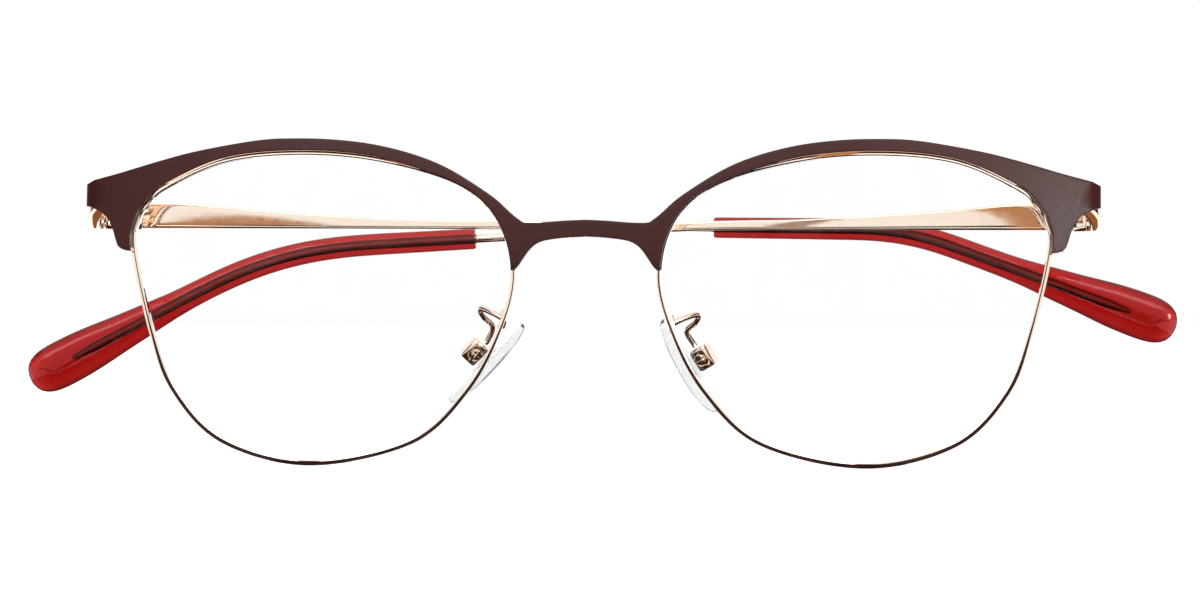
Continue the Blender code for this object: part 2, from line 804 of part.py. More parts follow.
def make_temple(side, root):
    """The tapered strip and the core wire that runs on inside the tip."""
    sign = SIDES[side]["sign"]
    rings = []
    strip_steps = 18
    for step in range(strip_steps + 1):
        share = step / strip_steps
        distance = END_BUTT_GAP + (STRIP_LENGTH - END_BUTT_GAP) * share
        height = TEMPLE_ROOT_HEIGHT * share_at(STRIP_HEIGHT_SHARES, share)
        slim = min(1.0, max(0.0, (share - 0.4) / 0.6))
        half_width = TEMPLE_THICKNESS / 2 + (CORE_WIRE_RADIUS - TEMPLE_THICKNESS / 2) * slim
        corner = 0.35 + (0.586 - 0.35) * slim
        low = -CORE_WIRE_RADIUS
        section = soft_rectangle(half_width, low, low + height, corner)
        rings.append(temple_ring(side, distance, section))
    wire = soft_rectangle(CORE_WIRE_RADIUS, -CORE_WIRE_RADIUS, CORE_WIRE_RADIUS, 0.586)
    core_end = TEMPLE_LENGTH - CORE_END_MARGIN
    core_steps = 14
    for step in range(1, core_steps + 1):
        distance = STRIP_LENGTH + (core_end - STRIP_LENGTH) * step / core_steps
        rings.append(temple_ring(side, distance, wire))
    temple = loft(f"temple_{side}", rings, "rose_gold", root)
    temple.location = (sign * HINGE_X, hinge_y(), HINGE_Z)
    temple.rotation_euler = folded_rotation(side)
    return temple


def oval(half_width, half_height, power, steps):
    """A section between an ellipse, at power 2, and a rectangle, at high power."""
    made = []
    for index in range(steps):
        angle = math.tau * (index + 0.5) / steps
        across = math.copysign(abs(math.cos(angle)) ** (2 / power), math.cos(angle))
        up = math.copysign(abs(math.sin(angle)) ** (2 / power), math.sin(angle))
        made.append((half_width * across, half_height * up))
    return made


def make_temple_tip(side, root):
    """The acetate tip: slender at the strip, swelling to a round paddle, bored for the wire."""
    sign = SIDES[side]["sign"]
    sides = 12
    start = STRIP_LENGTH + BORE_GAP
    length = TEMPLE_LENGTH - start
    bore = CORE_WIRE_RADIUS + SEAT_GAP
    bore_end = TEMPLE_LENGTH - CORE_END_MARGIN + SEAT_GAP
    bore_section = oval(bore, bore, 2, sides)
    rings = []
    bore_steps = 12
    for step in range(bore_steps, -1, -1):
        distance = start + (bore_end - start) * step / bore_steps
        rings.append(temple_ring(side, distance, bore_section))
    even_steps = 6
    places = [step / even_steps / 2 for step in range(even_steps)]
    places += [share for share, height in TIP_HEIGHT_SHARES[2:]]
    for share in places:
        half_height = TIP_END_HEIGHT / 2 * share_at(TIP_HEIGHT_SHARES, share)
        half_width = TIP_END_THICKNESS / 2 * share_at(TIP_THICKNESS_SHARES, share)
        rings.append(
            temple_ring(side, start + length * share, oval(half_width, half_height, 2.4, sides))
        )
    rings.append(temple_ring(side, TEMPLE_LENGTH, [(0.0, 0.0)]))
    tip = loft(f"temple_tip_{side}", rings, "red_acetate", root)
    tip.location = (sign * HINGE_X, hinge_y(), HINGE_Z)
    tip.rotation_euler = folded_rotation(side)
    return tip


def pad_place(side):
    """The place and turn that every piece of a nose pad shares."""
    values = SIDES[side]
    sign = values["sign"]
    lean = Matrix.Rotation(-sign * values["pad_lean"], 3, "Y")
    splay = Matrix.Rotation(-sign * PAD_SPLAY, 3, "Z")
    location = Vector((sign * PAD_SCREW_X, PAD_SCREW_Y, LENS_CENTRE_Z - values["pad_drop"]))
    return location, (lean @ splay).to_euler()


def put_pad_piece(obj, side):
    """Place a piece of a nose pad on its screw."""
    obj.location, obj.rotation_euler = pad_place(side)
    return obj


def make_pad_box(side, root):
    """The little cup, open towards the nose, that the pad's tab sits in."""
    sign = SIDES[side]["sign"]
    slot = INSERT_THICKNESS / 2 + BORE_GAP
    pocket = INSERT_TAB_RADIUS + SEAT_GAP
    cheek = slot + BOX_CHEEK
    end = pocket + BOX_WALL
    bm = bmesh.new()
    block(bm, (-BOX_FRONT_REACH, -cheek, -end), (end, cheek, end))
    bmesh.ops.bevel(
        bm, geom=bm.edges[:], offset=BOX_EDGE_ROUND, segments=2, profile=0.5, affect="EDGES",
    )
    for vert in bm.verts:
        vert.co.x *= sign
    box = put_pad_piece(new_object(f"pad_box_{side}", bm, "rose_gold", root), side)
    bm = bmesh.new()
    block(bm, (-BOX_FRONT_REACH - CUT_OVERRUN, -slot, -pocket), (pocket, slot, pocket))
    for vert in bm.verts:
        vert.co.x *= sign
    cut(box, bm, root)
    bores = (
        (PAD_SCREW_RADIUS + BORE_GAP, cheek + CUT_OVERRUN),
        (BOX_RECESS_RADIUS, BOX_RECESS_DEPTH - cheek),
    )
    for radius, reach in bores:
        bm = bmesh.new()
        prism(bm, circle(radius, 14), None, -reach, cheek + CUT_OVERRUN)
        bmesh.ops.rotate(bm, matrix=Matrix.Rotation(math.pi / 2, 3, "X"), verts=bm.verts[:])
        cut(box, bm, root)
    return box


def make_pad_screw(side, root):
    """The screw that the pad rocks on, with its head towards the front."""
    slot = INSERT_THICKNESS / 2 + BORE_GAP
    cheek = slot + BOX_CHEEK
    under = cheek - BOX_RECESS_DEPTH + BORE_GAP
    screw = make_screw(
        f"pad_screw_{side}", PAD_SCREW_RADIUS, under + cheek, PAD_HEAD_RADIUS,
        PAD_HEAD_HEIGHT, root,
    )
    location, turn = pad_place(side)
    forward = turn.to_matrix() @ Matrix.Rotation(math.pi / 2, 3, "X")
    place = location + forward @ Vector((0, 0, under))
    place_screw(screw, place, forward.to_euler())
    return screw


def make_pad_insert(side, root):
    """The T-shaped plate in the pad: a foot in its pocket and a bored tab for the screw."""
    sign = SIDES[side]["sign"]
    foot_back = -PAD_OFFSET - INSERT_FOOT_THICKNESS
    half_foot = INSERT_FOOT_LENGTH / 2
    tab = INSERT_TAB_RADIUS
    outline = [
        (foot_back, -half_foot), (-PAD_OFFSET, -half_foot), (-PAD_OFFSET, -tab),
        *circle(tab, 10, -math.pi / 2, math.pi),
        (-PAD_OFFSET, tab), (-PAD_OFFSET, half_foot), (foot_back, half_foot),
    ]
    hole = circle(PAD_SCREW_RADIUS + BORE_GAP, 12)
    bm = bmesh.new()
    prism(bm, outline, hole, -INSERT_THICKNESS / 2, INSERT_THICKNESS / 2)
    for vert in bm.verts:
        x, z, y = vert.co
        vert.co = Vector((sign * x, y, z))
    return put_pad_piece(new_object(f"pad_insert_{side}", bm, "clear_silicone", root), side)


def make_nose_pad(side, root):
    """The soft oval pad with a pocket for its insert."""
    sign = SIDES[side]["sign"]
    steps = 24
    pocket = oval(
        INSERT_THICKNESS / 2 + SEAT_GAP, INSERT_FOOT_LENGTH / 2 + SEAT_GAP, 6, steps
    )
    egg = []
    for across, up in oval(PAD_WIDTH / 2, PAD_LENGTH / 2, 2.2, steps):
        egg.append((across * (1 - 0.14 * up / PAD_LENGTH * 2), up))

    def ring(section, share, depth):
        return [Vector((sign * depth, share * y, share * z)) for y, z in section]

    outer = -PAD_OFFSET
    rings = [
        ring(pocket, 1.0, outer - PAD_POCKET_DEPTH),
        ring(pocket, 1.0, outer),
        ring(egg, 0.86, outer),
        ring(egg, 1.0, outer - PAD_THICKNESS * 0.35),
        ring(egg, 0.95, outer - PAD_THICKNESS * 0.65),
        ring(egg, 0.65, outer - PAD_THICKNESS * 0.93),
        [Vector((sign * (outer - PAD_THICKNESS), 0, 0))],
    ]
    return put_pad_piece(loft(f"nose_pad_{side}", rings, "clear_silicone", root), side)


def make_pad_arm(side, root):
    """The bent wire from a flat foot behind the rim to the top of the pad box."""
    sign = SIDES[side]["sign"]
    root_z = LENS_CENTRE_Z - ARM_ROOT_DROP
    inner = [point for point in lens_outline() if point.x < LENS_CENTRE_X]
    nearest = min(inner, key=lambda point: abs(point.y - root_z))
    start = on_front(nearest.x, RIM_DEPTH / 2 + SEAT_GAP, root_z)
    location, turn = pad_place("left" if sign > 0 else "right")
    end_height = INSERT_TAB_RADIUS + SEAT_GAP + BOX_WALL + BORE_GAP
    seat = turn.to_matrix() @ Vector((0, 0, end_height))
    end = location + seat
    end.x *= sign
    span = end - start
    above = seat.normalized() * ARM_RADIUS * 1.5
    above.x *= sign
    route = [start, start + Vector((0, ARM_FOOT_THICKNESS, 0))]
    for out, back, down in PAD_ARM_SHARES:
        route.append(start + Vector((span.x * out, span.y * back, span.z * down)))
    route += [end + above, end]
    line = even_points(smooth_curve(route[1:], 8), 22)
    sides = 8
    foot = oval(ARM_RADIUS, ARM_FOOT_LENGTH / 2, 3, sides)
    rings = []
    for lift in (0.0, ARM_FOOT_THICKNESS):
        rings.append([Vector((start.x + x, start.y + lift, start.z + z)) for x, z in foot])
    up = Vector((0, 0, 1))
    for index, point in enumerate(line):
        before = line[max(index - 1, 0)]
        after = line[min(index + 1, len(line) - 1)]
        along = (after - before).normalized()
        across = up.cross(along).normalized()
        up = along.cross(across).normalized()
        rings.append([
            point + across * (-x) + up * z for x, z in oval(ARM_RADIUS, ARM_RADIUS, 2, sides)
        ])
    rings = [[Vector((sign * p.x, p.y, p.z)) for p in ring] for ring in rings]
    return loft(f"pad_arm_{side}", rings, "rose_gold", root)


def centre_on_floor(root, pieces):
    """Move the whole so that its box is centred on the origin and stands on z = 0."""
    bpy.context.view_layer.update()
    corners = [
        piece.matrix_world @ vert.co for piece in pieces for vert in piece.data.vertices
    ]
    low = [min(corner[axis] for corner in corners) for axis in range(3)]
    high = [max(corner[axis] for corner in corners) for axis in range(3)]
    root.location = (-(low[0] + high[0]) / 2, -(low[1] + high[1]) / 2, -low[2])


def main():
    """Build the glasses."""
    clear_scene()
    root = bpy.data.objects.new("eyeglasses", None)
    bpy.context.scene.collection.objects.link(root)
    pieces = [make_brow_bar(root)]
    for side in SIDES:
        pieces += [
            make_rim(side, root),
            make_lens(side, root),
            make_end_piece(side, root),
            make_lock_block(side, "upper", root),
            make_lock_block(side, "lower", root),
            make_lock_screw(side, root),
            make_hinge_leaf(side, "front", root),
            make_hinge_leaf(side, "temple", root),
            make_hinge_screw(side, root),
            make_temple(side, root),
            make_temple_tip(side, root),
            make_pad_arm(side, root),
            make_pad_box(side, root),
            make_pad_screw(side, root),
            make_pad_insert(side, root),
            make_nose_pad(side, root),
        ]
    centre_on_floor(root, pieces)


main()
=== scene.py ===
"""Cat-eye eyeglasses, finished for the eye and set round their packed solids.

Metres, +Z up. The glasses face -Y and +X is the wearer's left. Pieces of the front are
drawn flat and laid on the front's curve, temples are drawn straight back from their
hinge and then folded, and nose pads are drawn about their screw.
"""

import json
import math
from functools import cache
import bmesh
import bpy
from bpy.props import FloatProperty, FloatVectorProperty, IntProperty, PointerProperty
from mathutils import Euler, Matrix, Vector


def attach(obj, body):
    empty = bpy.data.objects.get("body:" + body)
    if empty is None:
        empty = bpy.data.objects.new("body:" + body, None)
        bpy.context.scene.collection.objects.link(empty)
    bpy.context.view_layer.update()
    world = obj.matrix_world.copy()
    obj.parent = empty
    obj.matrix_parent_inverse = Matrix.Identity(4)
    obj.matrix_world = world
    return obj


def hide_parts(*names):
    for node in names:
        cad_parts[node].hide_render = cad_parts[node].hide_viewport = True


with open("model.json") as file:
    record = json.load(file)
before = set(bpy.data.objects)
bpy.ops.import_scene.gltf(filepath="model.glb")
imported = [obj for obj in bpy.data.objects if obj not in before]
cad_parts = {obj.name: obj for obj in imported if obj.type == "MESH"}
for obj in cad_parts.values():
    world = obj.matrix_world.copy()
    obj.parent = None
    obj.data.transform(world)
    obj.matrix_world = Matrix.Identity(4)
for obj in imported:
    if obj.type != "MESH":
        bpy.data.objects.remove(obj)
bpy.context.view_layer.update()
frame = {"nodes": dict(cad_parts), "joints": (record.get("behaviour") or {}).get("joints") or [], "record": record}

bl_info = {
    "name": "Cat-Eye Eyeglasses",
    "version": (1, 0, 0),
    "blender": (4, 5, 0),
    "location": "3D View > Sidebar > Eyeglasses",
    "description": "Builds cat-eye eyeglasses piece by piece, with their finishes and studio",
    "category": "Object",
}

SIDES = {"left": 1, "right": -1}
BODY_OF = {
    node: body
    for body, nodes in frame["record"]["behaviour"]["bodies"].items()
    for node in nodes
}
JOINTS = {joint["name"]: joint for joint in frame["joints"]}

# Where the front's own origin lies in the frame
FRONT_ORIGIN = Vector((-0.000872, -0.009723, -0.000003))

# The lens outline from its outer side over the top, in half lens widths and heights
LENS_OUTLINE_SHARES = (
    (1.0, 0.382), (0.98, 0.579), (0.93, 0.677), (0.845, 0.778), (0.523, 0.95), (0.122, 1.0),
    (-0.295, 0.957), (-0.705, 0.812), (-0.921, 0.586), (-1.0, 0.23), (-0.929, -0.141),
    (-0.76, -0.532), (-0.472, -0.859), (0.06, -1.0), (0.519, -0.862), (0.781, -0.535),
    (0.903, -0.143),
)

# The brow bar's top edge from the wing inward, in half lens widths and heights
BROW_TOP_SHARES = (
    (1.226, 0.833), (1.07, 0.883), (0.854, 0.959), (0.643, 1.023), (0.329, 1.088),
    (0.12, 1.099), (-0.089, 1.089), (-0.297, 1.055), (-0.505, 0.988), (-0.683, 0.894),
    (-0.892, 0.729), (-0.995, 0.616),
)
WING_END_SHARES = ((1.272, 0.805), (1.272, 0.662))
WING_LOW_SHARES = (
    (1.242, 0.655), (1.198, 0.63), (1.157, 0.595), (1.12, 0.518), (1.101, 0.446),
    (1.085, 0.398), (1.05, 0.373), (1.01, 0.367),
)

# The bridge's top and bottom edges, in half lens spacings and half lens heights
BRIDGE_TOP_SHARES = ((0.906, 0.576), (0.827, 0.556), (0.606, 0.556), (0.28, 0.568), (0.0, 0.574))
BRIDGE_LOW_SHARES = (
    (0.959, 0.249), (0.906, 0.275), (0.839, 0.323), (0.762, 0.375), (0.671, 0.415),
    (0.541, 0.44), (0.266, 0.458), (0.0, 0.465),
)

# The lacquer line on the rim's face, widened into painted dark reflection at the bottom and beside the nose: share
# of the way round from the closing block over the top, then the line's middle and half width as shares of the
# face, from its lens side
RIM_LINE_AND_REFLECTION_SHARES = (
    (0.0, 0.2, 0.04), (0.03, 0.15, 0.05), (0.06, 0.16, 0.1), (0.25, 0.16, 0.11),
    (0.38, 0.45, 0.1), (0.46, 0.7, 0.12), (0.51, 0.64, 0.28), (0.56, 0.6, 0.34),
    (0.7, 0.57, 0.36), (0.8, 0.55, 0.38), (0.87, 0.52, 0.34), (0.93, 0.42, 0.12),
    (1.0, 0.42, 0.07),
)

# Strip height along the temple, as shares of its length and of its root height
STRIP_HEIGHT_SHARES = (
    (0.0, 1.0), (0.08, 0.99), (0.12, 0.945), (0.185, 0.8), (0.255, 0.675), (0.32, 0.57),
    (0.385, 0.48), (0.45, 0.4), (0.52, 0.36), (0.75, 0.345), (1.0, 0.334),
)

# Tip height and thickness along the tip, as shares of its length and of its end sizes
TIP_HEIGHT_SHARES = (
    (0.0, 0.445), (0.3, 0.475), (0.5, 0.5), (0.6, 0.515), (0.66, 0.56), (0.72, 0.67),
    (0.785, 0.79), (0.86, 0.95), (0.92, 1.0), (0.955, 0.96), (0.975, 0.84), (0.99, 0.62),
    (0.998, 0.3), (1.0, 0.0),
)
TIP_THICKNESS_SHARES = (
    (0.0, 0.76), (0.5, 0.84), (0.92, 1.0), (0.955, 0.95), (0.975, 0.84), (0.99, 0.62),
    (0.998, 0.3), (1.0, 0.0),
)

# The pad arm's route from the rim to the pad box: shares of the way out, back and down
PAD_ARM_SHARES = (
    (0.45, 0.2, -0.22), (1.0, 0.42, -0.42), (1.15, 0.6, -0.34), (0.98, 0.75, -0.05),
    (0.62, 0.88, 0.32),
)

# The nose pad's profile from its back edge round to its face: shares of width and depth
PAD_PROFILE_SHARES = (
    (0.86, 0.0), (0.95, 0.1), (1.0, 0.35), (0.985, 0.52), (0.93, 0.68), (0.8, 0.84),
    (0.6, 0.945), (0.3, 0.99), (0.0, 1.0),
)


def linear(hex_colour):
    """An sRGB hex colour as linear red, green, blue and alpha."""
    parts = [int(hex_colour[place:place + 2], 16) / 255 for place in (1, 3, 5)]
    return (*[p / 12.92 if p <= 0.04045 else ((p + 0.055) / 1.055) ** 2.4 for p in parts], 1.0)


def length(name, description, default):
    """A size that a user may change, in metres."""
    return FloatProperty(
        name=name, description=description, default=default, min=0.0, precision=5,
        subtype="DISTANCE", unit="LENGTH",
    )


def angle(name, description, degrees):
    """An angle that a user may change."""
    return FloatProperty(
        name=name, description=description, default=math.radians(degrees),
        subtype="ANGLE", unit="ROTATION",
    )


def amount(name, description, default):
    """A plain number that a user may change."""
    return FloatProperty(name=name, description=description, default=default, min=0.0)


def colour(name, description, hex_colour):
    """A colour that a user may change."""
    return FloatVectorProperty(
        name=name, description=description, default=linear(hex_colour), size=4,
        min=0.0, max=1.0, subtype="COLOR",
    )


class FrontSizes(bpy.types.PropertyGroup):
    """Sizes of the brow bar, rims and lenses."""

    lens_width: length("Lens width", "Across a lens, edge to edge", 0.05095)
    lens_height: length("Lens height", "Lens from its lowest to its highest point", 0.0408)
    lens_spacing: length("Lens spacing", "Gap between the two lenses", 0.0196)
    lens_thickness: length("Lens thickness", "Thickness of the lens resin", 0.0013)
    lens_bevel: length("Lens bevel", "Reach of the lens's pointed edge", 0.0002)
    base_radius: length("Base curve", "Radius of the curve of the whole front", 0.135)
    foremost: length("Foremost point", "Middle of the front to its foremost point", 0.0224)
    bridge_blend: length("Bridge blend", "How softly the curve passes the bridge", 0.008)
    rim_depth: length("Rim depth", "Eye wire from front to back", 0.0018)
    rim_outset: length("Rim outset", "Lens edge to the outside of the eye wire", 0.0005)
    rim_lip: length("Rim lip", "How far the eye wire laps over the lens", 0.00015)
    rim_crown: length("Rim crown", "How far the eye wire's face slopes back to its lens", 0.00011)
    groove_depth: length("Groove depth", "Lens edge to the bottom of the groove", 0.0002)
    groove_width: length("Groove width", "Width of the lens groove", 0.0012)
    rim_slit: length("Rim slit", "Gap where the eye wire is split", 0.00001)
    lock_rise: length("Closing block rise", "Lens middle to the closing block", 0.0101)
    brow_thickness: length("Brow thickness", "Thickness of the brow bar", 0.001)
    brow_cover: length("Brow cover", "How far the brow bar laps the rim", 0.00008)
    nose_cover: length("Nose side cover", "How far it laps the rim beside the nose", 0.00048)
    brow_edge: length("Brow edge", "Rounding of the brow bar's front edge", 0.0003)
    seat_gap: length("Seat gap", "Solder joint between brow bar and rim", 0.0003)
    wing_roll_width: length("Wing roll", "Width of the wing's rolled end", 0.0014)
    wing_roll_radius: length("Wing roll radius", "Radius of the wing's rolled end", 0.0012)


class TempleSizes(bpy.types.PropertyGroup):
    """Sizes of the temples and their tips."""

    length: length("Temple length", "Hinge to the end of the tip, along the wire", 0.1458)
    strip_length: length("Strip length", "Hinge to the start of the tip", 0.0812)
    root_height: length("Root height", "Height of the strip at its hinge", 0.0036)
    thickness: length("Strip thickness", "Thickness of the strip", 0.0011)
    wire_radius: length("Core wire radius", "Radius of the wire in the tip", 0.0006)
    line_drop: length("Line drop", "Hinge middle to the core line below it", 0.001)
    hinge_offset: length("Hinge offset", "Hinge axis to the inner face of the strip", 0.0015)
    butt_gap: length("Butt gap", "Gap between the end piece and the open strip", 0.0002)
    core_margin: length("Core margin", "End of the core wire to the end of the tip", 0.0064)
    inward_bend: length("Inward bend", "How far the tip's end curves inward", 0.0025)
    tip_height: length("Tip height", "Greatest height of the tip's paddle", 0.0063)
    tip_thickness: length("Tip thickness", "Greatest thickness of the tip", 0.0026)
    droop_start: length("Droop start", "Hinge to where the strip starts to droop", 0.038)
    droop_length: length("Droop length", "Stretch over which the strip droops", 0.022)
    left_droop: angle("Left droop", "Droop of the left strip", 3.4)
    right_droop: angle("Right droop", "Droop of the right strip", 0.5)
    left_ear_start: length("Left ear bend start", "Hinge to the left ear bend", 0.093)
    right_ear_start: length("Right ear bend start", "Hinge to the right ear bend", 0.0985)
    left_ear_length: length("Left ear bend length", "Stretch of the left ear bend", 0.03)
    right_ear_length: length("Right ear bend length", "Stretch of the right ear bend", 0.018)
    left_ear_bend: angle("Left ear bend", "Turn of the left ear bend", 24.5)
    right_ear_bend: angle("Right ear bend", "Turn of the right ear bend", 19.6)
    left_fold_lean: angle("Left fold lean", "Lean of the folded left temple", 0.0)
    right_fold_lean: angle("Right fold lean", "Lean of the folded right temple", 2.2)


class PadSizes(bpy.types.PropertyGroup):
    """Sizes of the nose pads and of what holds them."""

    height: length("Pad height", "Nose pad from end to end", 0.0142)
    width: length("Pad width", "Nose pad across", 0.0074)
    thickness: length("Pad thickness", "Thickness of the nose pad", 0.0016)
    offset: length("Pad offset", "Screw to the back of the nose pad", 0.00145)
    splay: angle("Pad splay", "How far the pads open towards the back", 18.0)
    left_lean: angle("Left pad lean", "Lean of the left pad", 31.0)
    right_lean: angle("Right pad lean", "Lean of the right pad", 44.0)
    insert_thickness: length("Insert thickness", "Plate moulded into the pad", 0.0007)
    insert_foot: length("Insert foot", "Length of the plate's foot", 0.004)
    pocket_depth: length("Pocket depth", "Depth of the pad's pocket", 0.0009)
    pocket_gap: length("Pocket gap", "Gap round the plate's foot", 0.0003)
    box_top: length("Box top", "Screw to the outside of the box's top", 0.00175)
    arm_radius: length("Arm radius", "Radius of the pad arm's wire", 0.0004)
    arm_foot: length("Arm foot", "Length of the arm's flat foot", 0.0026)
    arm_foot_thickness: length("Arm foot thickness", "Thickness of that foot", 0.0004)
    left_arm_drop: length("Left arm drop", "Lens middle to the left arm's foot below", 0.002)
    right_arm_drop: length("Right arm drop", "Lens middle to the right arm's foot below", 0.0014)


class Finishes(bpy.types.PropertyGroup):
    """Colours of the glasses."""

    gold: colour("Rose gold", "Polished plating", "#FEEBDA")
    lacquer: colour("Lacquer", "Satin burgundy lacquer of the brow bar", "#3F1917")
    # Painted shade: this colour darkens the brow bar's edges and the bridge's lobes, besides where the lacquer
    # thins
    lacquer_edge_and_shade: colour("Lacquer edge", "The lacquer where it thins on edges", "#2C0709")
    # Painted reflection: the rim line colour also stands for the dark reflections on the lower rims
    rim_line_and_reflection: colour("Rim line", "Lacquer line on the eye wires", "#1C0B0A")
    acetate: colour("Acetate", "Surface of the red acetate tips", "#FFDAD6")
    # Painted shade: this colour darkens the tips' top and bottom edges
    acetate_edge_shade: colour("Acetate seam", "The acetate along its mould's seams", "#8A3038")
    acetate_depth: colour("Acetate depth", "What the acetate lets through", "#E52828")
    core: colour("Core wire", "Bare steel of the wire in the tips", "#B09A94")
    resin: colour("Lens resin", "Clear lens resin", "#FEFFFF")
    silicone: colour("Silicone", "Clear silicone of the nose pads", "#F8F9F9")


class Studio(bpy.types.PropertyGroup):
    """The camera, the light and how finely the outlines are drawn."""

    distance: length("Camera distance", "Camera to the front of the glasses", 0.6)
    height: length("Camera height", "Camera above the floor", 0.02205)
    turn: angle("Camera turn", "Camera round towards the wearer's left", 3.9)
    roll: angle("Camera roll", "Tilt of the picture", 0.2)
    sky: amount("Sky light", "Strength of the even light", 0.55)
    key: amount("Key lamp", "Power of the main lamp in watts", 3.0)
    top: amount("Top lamp", "Power of the long lamp above in watts", 2.2)
    clearing: amount("Floor clearing", "How far the floor is lifted to white", 0.6)
    steps: IntProperty(
        name="Outline steps", description="Points round a lens", default=240, min=48
    )


def curve_point(a, b, c, d, t):
    """A point a share t of the way from b to c, on a smooth curve past a, b, c and d."""
    return (
        b
        + (c - a) * (t / 2)
        + (a * 2 - b * 5 + c * 4 - d) * (t ** 2 / 2)
        + (b * 3 - a - c * 3 + d) * (t ** 3 / 2)
    )


def smooth_curve(points, steps, closed=False):
    """Points on a smooth curve through the given ones, a number of steps for each span."""
    if closed:
        ends = [points[-1], *points, points[0], points[1]]
    else:
        ends = [points[0] * 2 - points[1], *points, points[-1] * 2 - points[-2]]
    made = []
    for span in range(len(ends) - 3):
        for step in range(steps):
            made.append(curve_point(*ends[span:span + 4], step / steps))
    if not closed:
        made.append(points[-1])
    return made


def even_points(points, count, closed=False, start=0.0, end=1.0):
    """Points at equal distances along a line, from one share of its length to another."""
    line = [*points, points[0]] if closed else list(points)
    travelled = [0.0]
    for a, b in zip(line, line[1:]):
        travelled.append(travelled[-1] + (b - a).length)
    made = []
    place = 0
    for index in range(count):
        wanted = travelled[-1] * (start + (end - start) * index / (count if closed else count - 1))
        while place < len(line) - 2 and travelled[place + 1] < wanted:
            place += 1
        span = travelled[place + 1] - travelled[place]
        made.append(line[place].lerp(line[place + 1], (wanted - travelled[place]) / span))
    return made


def share_at(table, place):
    """The values of a table of shares at a place, on straight lines between its rows."""
    for low, high in zip(table, table[1:]):
        if place <= high[0]:
            part = max(0.0, (place - low[0]) / (high[0] - low[0]))
            values = [a + (b - a) * part for a, b in zip(low[1:], high[1:])]
            return values[0] if len(values) == 1 else values
    return table[-1][1] if len(table[-1]) == 2 else table[-1][1:]


def smooth_table(table, steps=8):
    """A table of pairs with rows put between the given ones on a smooth curve."""
    return [tuple(point) for point in smooth_curve([Vector(row) for row in table], steps)]


def outward_directions(line, closed):
    """Unit vectors that point out of an outline that runs anticlockwise."""
    count = len(line)
    made = []
    for index in range(count):
        before = line[index - 1] if closed or index else line[0]
        after = line[(index + 1) % count] if closed or index < count - 1 else line[-1]
        along = (after - before).normalized()
        made.append(Vector((along.y, -along.x)))
    return made


def eased(place, start, reach):
    """A share from 0 to 1 that eases in and out over a stretch."""
    share = max(0.0, min(1.0, (place - start) / reach))
    return share ** 2 * (3 - 2 * share)


def oval(half_width, half_height, power, steps):
    """A section between an ellipse, at power 2, and a rectangle, at high power."""
    made = []
    for index in range(steps):
        turn = math.tau * (index + 0.5) / steps
        across = math.copysign(abs(math.cos(turn)) ** (2 / power), math.cos(turn))
        up = math.copysign(abs(math.sin(turn)) ** (2 / power), math.sin(turn))
        made.append((half_width * across, half_height * up))
    return made


class FrontShape:
    """The flat outlines of the front and the curve that they are laid on."""

    def __init__(self):
        sizes = self.sizes = bpy.context.scene.front_sizes
        self.half_width = sizes.lens_width / 2
        self.half_height = sizes.lens_height / 2
        self.centre_x = (sizes.lens_spacing + sizes.lens_width) / 2
        self.centre_z = self.half_height + sizes.rim_outset
        self.brow_back = -sizes.rim_depth / 2
        self.brow_front = self.brow_back - sizes.seat_gap - sizes.brow_thickness

    def depth(self, x, z):
        """How far the middle surface of the front lies behind its foremost point."""
        across = math.hypot(x, self.sizes.bridge_blend) - self.sizes.foremost
        return (across ** 2 + (z - self.centre_z) ** 2) / (2 * self.sizes.base_radius)

    def place(self, x, y, z):
        """A point y behind the middle surface of the front, in the frame."""
        return FRONT_ORIGIN + Vector((x, y + self.depth(x, z), z))

    def eye_points(self, shares):
        """Flat points given in half lens widths and heights from the lens's middle."""
        return [
            Vector((self.centre_x + x * self.half_width, self.centre_z + z * self.half_height))
            for x, z in shares
        ]

    def bridge_points(self, shares):
        """Flat points given in half lens spacings and half lens heights."""
        half = self.sizes.lens_spacing / 2
        return [Vector((x * half, self.centre_z + z * self.half_height)) for x, z in shares]

    def lens_outline(self):
        """The left lens's outline as flat points, from the closing block onward."""
        line = smooth_curve(self.eye_points(LENS_OUTLINE_SHARES), steps=24, closed=True)
        outer = [index for index, point in enumerate(line) if point.x > self.centre_x]
        lock_z = self.centre_z + self.sizes.lock_rise
        first = min(outer, key=lambda index: abs(line[index].y - lock_z))
        return line[first:] + line[:first]

    def brow_outline(self):
        """The whole brow bar's outline as flat points."""
        steps = 6
        top = self.bridge_points(reversed(BRIDGE_TOP_SHARES))
        top += self.eye_points(reversed(BROW_TOP_SHARES))
        wing_low = self.eye_points(WING_LOW_SHARES)
        bridge_low = self.bridge_points(BRIDGE_LOW_SHARES)
        line = even_points(self.lens_outline(), count=360, closed=True)
        outer, inner = [], []
        for point, direction in zip(line, outward_directions(line, closed=True)):
            inward = (self.centre_x - point.x) / self.half_width
            to_nose = eased(inward, start=0.25, reach=0.4)
            cover = self.sizes.brow_cover
            cover += (self.sizes.nose_cover - cover) * to_nose
            edge = point + direction * (self.sizes.rim_outset - cover)
            if point.x > self.centre_x and edge.y > wing_low[-1].y:
                outer.append(edge)
            elif point.x <= self.centre_x and edge.y > bridge_low[0].y:
                inner.append(edge)
        outer.sort(key=lambda point: math.atan2(point.y - self.centre_z, point.x - self.centre_x))
        half = smooth_curve(top, steps) + self.eye_points(WING_END_SHARES)
        half += smooth_curve(wing_low, steps) + outer[1:] + inner[:-1]
        half += smooth_curve(bridge_low, steps)
        return half + [Vector((-point.x, point.y)) for point in reversed(half[1:-1])]

    def wing_roll(self, x):
        """How far the brow bar's outer end rolls back."""
        end = self.centre_x + WING_END_SHARES[0][0] * self.half_width
        past = abs(x) - (end - self.sizes.wing_roll_width)
        return max(0.0, past) ** 2 / (2 * self.sizes.wing_roll_radius)


